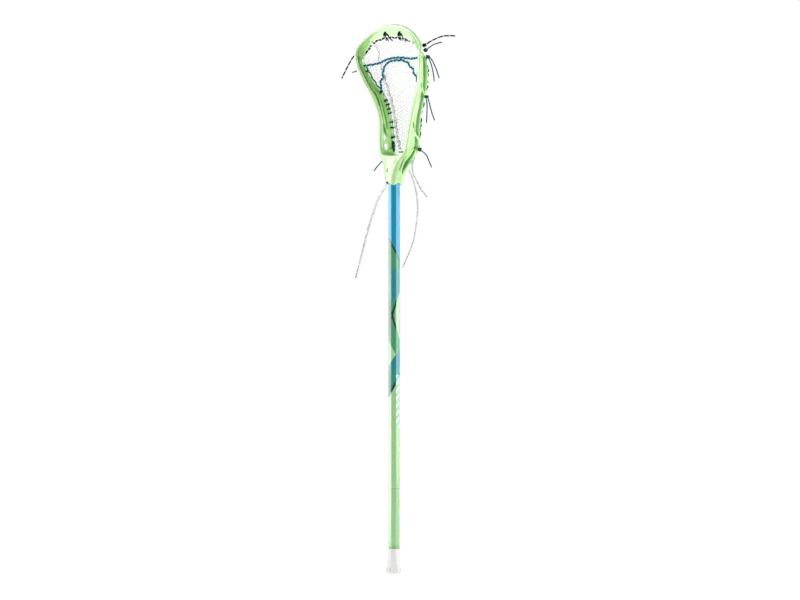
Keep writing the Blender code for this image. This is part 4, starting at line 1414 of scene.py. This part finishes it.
def make_net():
    """The pocket's mesh: hexagonal cells knitted from soft yarn, laid on the pocket."""
    across, up = MESH_CELL
    vertices = []
    found = {}
    faces = []

    def corner(x, z):
        limit = pocket_width(z * MM) / MM - 0.6
        x = min(max(x, -limit), limit)
        z = min(max(z, POCKET_BOTTOM + 0.5), POCKET_TOP - 0.5)
        key = (round(x * 10), round(z * 10))
        if key not in found:
            found[key] = len(vertices)
            wobble = 0.35 * math.sin(x * 1.7 + z * 0.9) * math.cos(z * 1.3 - x * 0.6)
            vertices.append(on_pocket((x + wobble * 0.5) * MM, z * MM, wobble * 0.5 * MM))
        return found[key]

    rows = int((POCKET_TOP - POCKET_BOTTOM) / up) + 1
    columns = int(100 / (0.75 * across))
    for column in range(-columns, columns + 1):
        x = column * 0.75 * across
        for row in range(rows + 1):
            z = POCKET_BOTTOM + (row + (0.5 if column % 2 else 0.0)) * up
            if abs(x) > pocket_width(min(z, POCKET_TOP) * MM) / MM + across * 0.1:
                continue
            ring = []
            for dx, dz in CELL_CORNERS:
                index = corner(x + dx * across, z + dz * up)
                if index not in ring:
                    ring.append(index)
            if len(ring) > 2:
                faces.append(ring)
    net = link("net_shape", turn_outwards(make_mesh("pocket_net", vertices, faces)))
    wire = net.modifiers.new("wire", "WIREFRAME")
    wire.thickness = MESH_YARN
    wire.use_even_offset = False
    wire.use_boundary = True
    round_off = net.modifiers.new("round", "SUBSURF")
    round_off.levels = round_off.render_levels = 1
    apply_modifiers(net)
    mesh = net.data
    mesh.shade_smooth()
    bpy.data.objects.remove(net)
    piece = add("pocket_net", mesh, MESH, "pocket_mesh")
    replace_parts(piece, "pocket_mesh")


def leather_weave(run):
    """Lift of a leather above the mesh, in and out of it every 22 mm."""
    return (1.9 + 2.6 * math.sin(2 * math.pi * run / 22.0)) * MM


def make_leather(name, side):
    """A leather strip woven through the pocket and looped over the scoop."""
    route = spline_points([Vector((side * x, 0, z)) for x, z in LEATHER_ROUTE], 150)
    points = []
    normals = []
    for p, run in zip(route, runs_along(route)):
        base = on_pocket(p.x * MM, p.z * MM)
        points.append(on_pocket(p.x * MM, p.z * MM, max(-1.2 * MM, leather_weave(run))))
        normals.append((on_pocket(p.x * MM, p.z * MM, MM) - base).normalized())
    mesh = strip(name, points, normals, LEATHER_WIDTH, 1.9 * MM, shaded_edge=int(side < 0))
    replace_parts(add(f"{name}_strip", mesh, LEATHER, "leather"), name)

    loop = [Vector((side * x, y, z)) * MM for x, y, z in LEATHER_LOOP]
    points = spline_points(loop, LOOP_STEPS)
    up = []
    for i in range(LOOP_STEPS):
        out = Vector((side * 0.25, -1.0, 0.35))
        turned = (i - LOOP_STEPS / 2) / (LOOP_STEPS / 2)
        if turned >= 0:
            before, after = points[max(i - 1, 0)], points[min(i + 1, LOOP_STEPS - 1)]
            along = (after - before).normalized()
            out = (out - along * out.dot(along)).lerp(Vector((0, 1, 0)), turned)
        up.append(out)
    mesh = strip(f"{name}_loop", points, up, LEATHER_WIDTH * 0.9, 1.6 * MM, shaded_edge=int(side < 0))
    add(f"{name}_loop", mesh, LEATHER, "leather")


make_net()
make_leather("leather_right", 1)
make_leather("leather_left", -1)


# ---------------------------------------------------------------- laces and strings

LACING_OUT = 1.8 * MM  # how far the lacing lies past the wall's back edge, and inside it
LACING_IN = 2.6 * MM


def twisted(name, centre, radius, pitch, materials, slot, replaced):
    """Two cords twisted round each other along a line."""
    pieces = []
    for suffix, phase, material in zip("ab", (0.0, math.pi), materials):
        points = []
        for point, run, (side, lift) in zip(centre, runs_along(centre), frames(centre)):
            angle = 2 * math.pi * run / pitch + phase
            points.append(point + (side * math.cos(angle) + lift * math.sin(angle)) * radius * 0.92)
        mesh = tube(f"{name}_{suffix}", points, radius, sides=10)
        pieces.append(add(f"{name}_{suffix}", mesh, material, slot))
    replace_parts(pieces[0], replaced)


def lace_line(route, count):
    """A lace's line on the pocket, which dips into the mesh now and then."""
    flat = spline_points([Vector((x, 0, z)) for x, z in route], count)
    points = []
    for p, run in zip(flat, runs_along(flat)):
        lift = 4.6 + 1.5 * math.sin(2 * math.pi * run / 17.0)
        points.append(on_pocket(p.x * MM, p.z * MM, lift * MM))
    return points


def edge_line(start, end, away, inward):
    """A line past the wall's back edge, between two steps of the rim."""
    route = []
    for p, q, outward in RIM[start : end + 1]:
        along = (q - p).normalized()
        route.append(q + along * away - outward * inward)
    return route


def step_at(height, side):
    """The rim step whose back edge is nearest a height on one side."""
    half = len(RIM) // 2
    steps = range(half) if side > 0 else range(half + 1, len(RIM))
    return min(steps, key=lambda i: abs(RIM[i][1].z - height * MM))


def laced_line(start, end, swing, pitch):
    """A cord that swings between the wall's back edge and the pocket's edge."""
    base = edge_line(start, end, LACING_OUT, LACING_IN)
    inner = edge_line(start, end, LACING_OUT * 0.4, LACING_IN + swing)
    total = length_of(base)
    count = max(30, int(total / (pitch / 8)))
    near = spline_points(base, count)
    far = spline_points(inner, count)
    points = []
    for i in range(count):
        turn = math.pi * 2 * (total * i / (count - 1)) / pitch
        points.append(near[i].lerp(far[i], 0.5 - 0.5 * math.cos(turn)))
    return spline_points(points, int(length_of(points) / (1.1 * MM)))


def wrap(name, height, turns, radius, reach, shift):
    """Turns of cord round the left wall's back edge."""
    p, q, outward = RIM[step_at(height, -1)]
    along = (q - p).normalized()
    up = outward.cross(along).normalized()
    centre = q + along * 0.3 * MM - outward * 2.5 * MM + Vector(shift) * MM
    count = int(26 * turns)
    points = []
    for i in range(count):
        angle = 2 * math.pi * i * turns / (count - 1) - 1.1
        rise = up * ((i / (count - 1) - 0.5) * turns * WRAP_SPREAD)
        round_edge = along * (math.cos(angle) * reach) + outward * (math.sin(angle) * 3.9 * MM)
        points.append(centre + round_edge + rise)
    add(name, tube(name, points, radius, sides=10), TEAL_DEEP, "teal_string")


def eyelets(name, points, gap):
    """White loops of the mesh's edge round a string."""
    vertices = []
    faces = []
    runs = runs_along(points)
    due = gap / 2
    for i in range(1, len(points) - 1):
        if runs[i] < due:
            continue
        due += gap
        side, lift = frames(points[i - 1 : i + 2])[1]
        turns = [side * math.cos(a) + lift * math.sin(a) for a in angles(12, 13)]
        loop = [points[i] + turn * 2.1 * MM for turn in turns]
        part = tube("eyelet", loop, 0.85 * MM, sides=8, tip=False)
        start = len(vertices)
        vertices += [v.co.copy() for v in part.vertices]
        faces += [tuple(start + k for k in face.vertices) for face in part.polygons]
        bpy.data.meshes.remove(part)
    add(name, make_mesh(name, vertices, faces), MESH, "pocket_mesh")


# Millimetres by which the left wall's binding and wraps stand out into the head.
BINDING_SHIFT = (1.3, -3.0, 0.0)
WRAP_SHIFT = (2.6, -1.9, 0.0)
WRAP_SPREAD = 2.2 * MM  # from one turn to the next
# Each wrap's height and turns, and each stitch's height and length in millimetres.
LEFT_WRAPS = (
    (979.0, 1.0), (941.5, 1.9), (926.0, 1.8), (917.0, 1.0), (910.5, 1.0), (903.0, 1.0),
    (895.5, 0.9), (880.0, 1.6), (867.0, 1.2), (854.0, 1.8),
)
RUNG_HEIGHTS = (884, 872, 861, 853, 842, 835)
RIGHT_STITCHES = (
    (980.0, 3.0), (948.0, 3.0), (913.6, 8.0), (884.0, 7.0), (874.5, 4.0), (858.0, 7.0),
)


def stitch(name, height, length):
    """A short bow of cord that stands out behind the right wall's back edge."""
    p, q, outward = RIM[step_at(height, 1)]
    along = (q - p).normalized()
    up = outward.cross(along).normalized()
    up = up if up.z > 0 else -up
    q = q + up * ((height * MM - q.z) / up.z)
    points = []
    for s in range(17):
        angle = math.pi * s / 16
        back = along * (math.sin(angle) * 3.6 - 0.8)
        rise = up * (math.cos(angle) * (0.5 * length + 1.0))
        points.append(q + (back + rise - outward * 1.6) * MM)
    add(name, tube(name, points, 1.3 * MM, sides=10), TEAL, "teal_string")


def make_strings():
    """The laces across the pocket and the strings round its edge."""
    for name, route, count in (
        ("shooting_string_upper", UPPER_LACE_ROUTE, 190),
        ("shooting_string_lower", LOWER_LACE_ROUTE, 200),
    ):
        line = lace_line(route, count)
        # Painted light and shade: one strand pale teal, the other deep, for the twist's lit and shaded
        # turns.
        shades = (TEAL_PALE, TEAL_DEEP)
        twisted(f"{name}_cord", line, LACE_STRAND, 13 * MM, shades, "teal_string", name)

    top_right, top_left = step_at(1018, 1), step_at(1002, -1)
    points = laced_line(top_right, top_left, 2.6 * MM, 21 * MM)
    shown = next(i for i, p in enumerate(points) if p.x < 54 * MM)
    piece = add("top_lacing", tube("top_lacing", points[shown:], 1.6 * MM), BLACK, "top_string")
    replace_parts(piece, "top_string")
    add("top_binding", tube("top_binding", points[: shown + 1], 1.7 * MM), MESH, "pocket_mesh")
    eyelets("pocket_eyelets", points[shown:], 10.5 * MM)
    for name, start, end in (
        ("sidewall_string_right", step_at(832, 1), top_right - 1),
        ("sidewall_string_left", top_left + 1, step_at(832, -1)),
    ):
        points = laced_line(start, end, 3.4 * MM, 17 * MM)
        if start > top_right:
            for p in points:
                free = step_up(p.z / MM, 938.0, 950.0) * (1 - step_up(p.z / MM, 984.0, 996.0))
                p += Vector((7.0 * MM * free, -5.0 * MM * free, 0))
        mesh = tube(f"{name}_lacing", points, 1.3 * MM)
        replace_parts(add(f"{name}_lacing", mesh, TEAL_DEEP, "teal_string"), name)

    for number, (height, turns) in enumerate(LEFT_WRAPS):
        wrap(f"wrap_left_{number}", height, turns, 1.4 * MM, 3.0 * MM, WRAP_SHIFT)
    for number, (height, length) in enumerate(RIGHT_STITCHES):
        stitch(f"stitch_right_{number}", height, length)
    wrap("binding_left", 834.0, 10, 1.2 * MM, 2.4 * MM, BINDING_SHIFT)


# The scoop's two string holes, and the feet of the legs of string from each, x and height.
SCOOP_LOOPS = (
    ((-23.0, 1056.5), ((-24.5, 1043.5), (-18.0, 1043.0), (-6.5, 1042.5))),
    ((20.5, 1056.5), ((18.5, 1043.5), (25.0, 1043.0), (34.0, 1041.0))),
)
LOOP_FRONT = -5.4  # how far the legs lie in front of and behind the scoop's middle
LOOP_BACK = 4.0


def make_scoop_loops():
    """Black string from the mesh's top up through the scoop's two round holes."""
    for number, ((hole_x, hole_z), feet) in enumerate(SCOOP_LOOPS):
        for leg, (x, z) in enumerate(feet):
            shift = (leg - 1) * 1.4
            route = [
                (x, 1.5, z - 3.0), (x, -3.2, z + 0.5),
                ((x + hole_x) / 2 + shift, LOOP_FRONT, (z + hole_z) / 2 + 1.0),
                (hole_x + shift, LOOP_FRONT, hole_z - 1.2),
                (hole_x + shift * 0.6, -1.0, hole_z + 0.4),
                (hole_x + shift * 0.4, LOOP_BACK, hole_z - 0.6),
            ]
            points = spline_points([Vector(p) * MM for p in route], 34)
            name = f"scoop_loop_{number}_{leg}"
            add(name, tube(name, points, 1.2 * MM), BLACK, "top_string")


def make_rungs():
    """Short dark cords across the left leather, and one along the pocket's foot."""
    dark = cord_finish("binding_cord", srgb(112, 100, 96), srgb(170, 160, 154), 2.2)
    leather = smooth_table(sorted((z, x) for x, z in LEATHER_ROUTE))
    for number, height in enumerate(RUNG_HEIGHTS):
        middle = -leather(height)
        half = 1.9 + 0.8 * math.sin(number * 2.3)
        route = []
        for s in range(7):
            x = middle + half * (s / 3 - 1)
            z = height + 0.5 * (s - 3) * math.sin(number)
            route.append(on_pocket(x * MM, z * MM, 4.8 * MM))
        add(f"rung_{number}", tube(f"rung_{number}", route, 0.7 * MM, sides=8), dark, "teal_string")
    route = [on_pocket(x * MM, 822.5 * MM, 1.5 * MM) for x in range(-18, 19, 3)]
    add("foot_cord", tube("foot_cord", route, 1.3 * MM), dark, "teal_string")


def make_foot_knot():
    """The small dark knot in the socket's foot that the left leather comes out of."""
    loop = []
    for angle in angles(12, 15):
        out = Vector((math.cos(angle), 0.5 * math.sin(angle), math.sin(angle)))
        loop.append(Vector((-4.5, -14.0, 763.4)) * MM + out * 1.3 * MM)
    add("foot_knot", tube("foot_knot", loop, 1.2 * MM), TEAL_DEEP, "teal_string")


def make_knots():
    """Overhand stopper knots: a cord drawn up into a tight three-lobed tangle."""
    for index, (name, place) in enumerate(KNOTS.items()):
        turn = 0.7 + index * 0.9
        points = []
        for angle in angles(72, 73):
            t = angle * 0.985
            ring = 1.35 + 0.62 * math.cos(3 * t)
            x, y, z = ring * math.cos(2 * t), ring * math.sin(2 * t), 0.95 * math.sin(3 * t)
            spun_x = x * math.cos(turn) - z * math.sin(turn)
            spun_z = x * math.sin(turn) + z * math.cos(turn)
            points.append((Vector((spun_x, y, spun_z)) * 1.65 + Vector(place)) * MM)
        mesh = tube(f"{name}_tied", points, 1.6 * MM, sides=12)
        material, slot = TEAL_DEEP, "teal_string"
        if name.startswith("top"):
            material, slot = BLACK, "top_string"
        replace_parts(add(f"{name}_tied", mesh, material, slot), name)


make_strings()
make_scoop_loops()
make_rungs()
make_foot_knot()
make_knots()


visual_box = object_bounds()
boxes = {"cad": cad_box, "visual": visual_box}
{k: [[float(n) for n in corner] for corner in b] for k, b in boxes.items()}
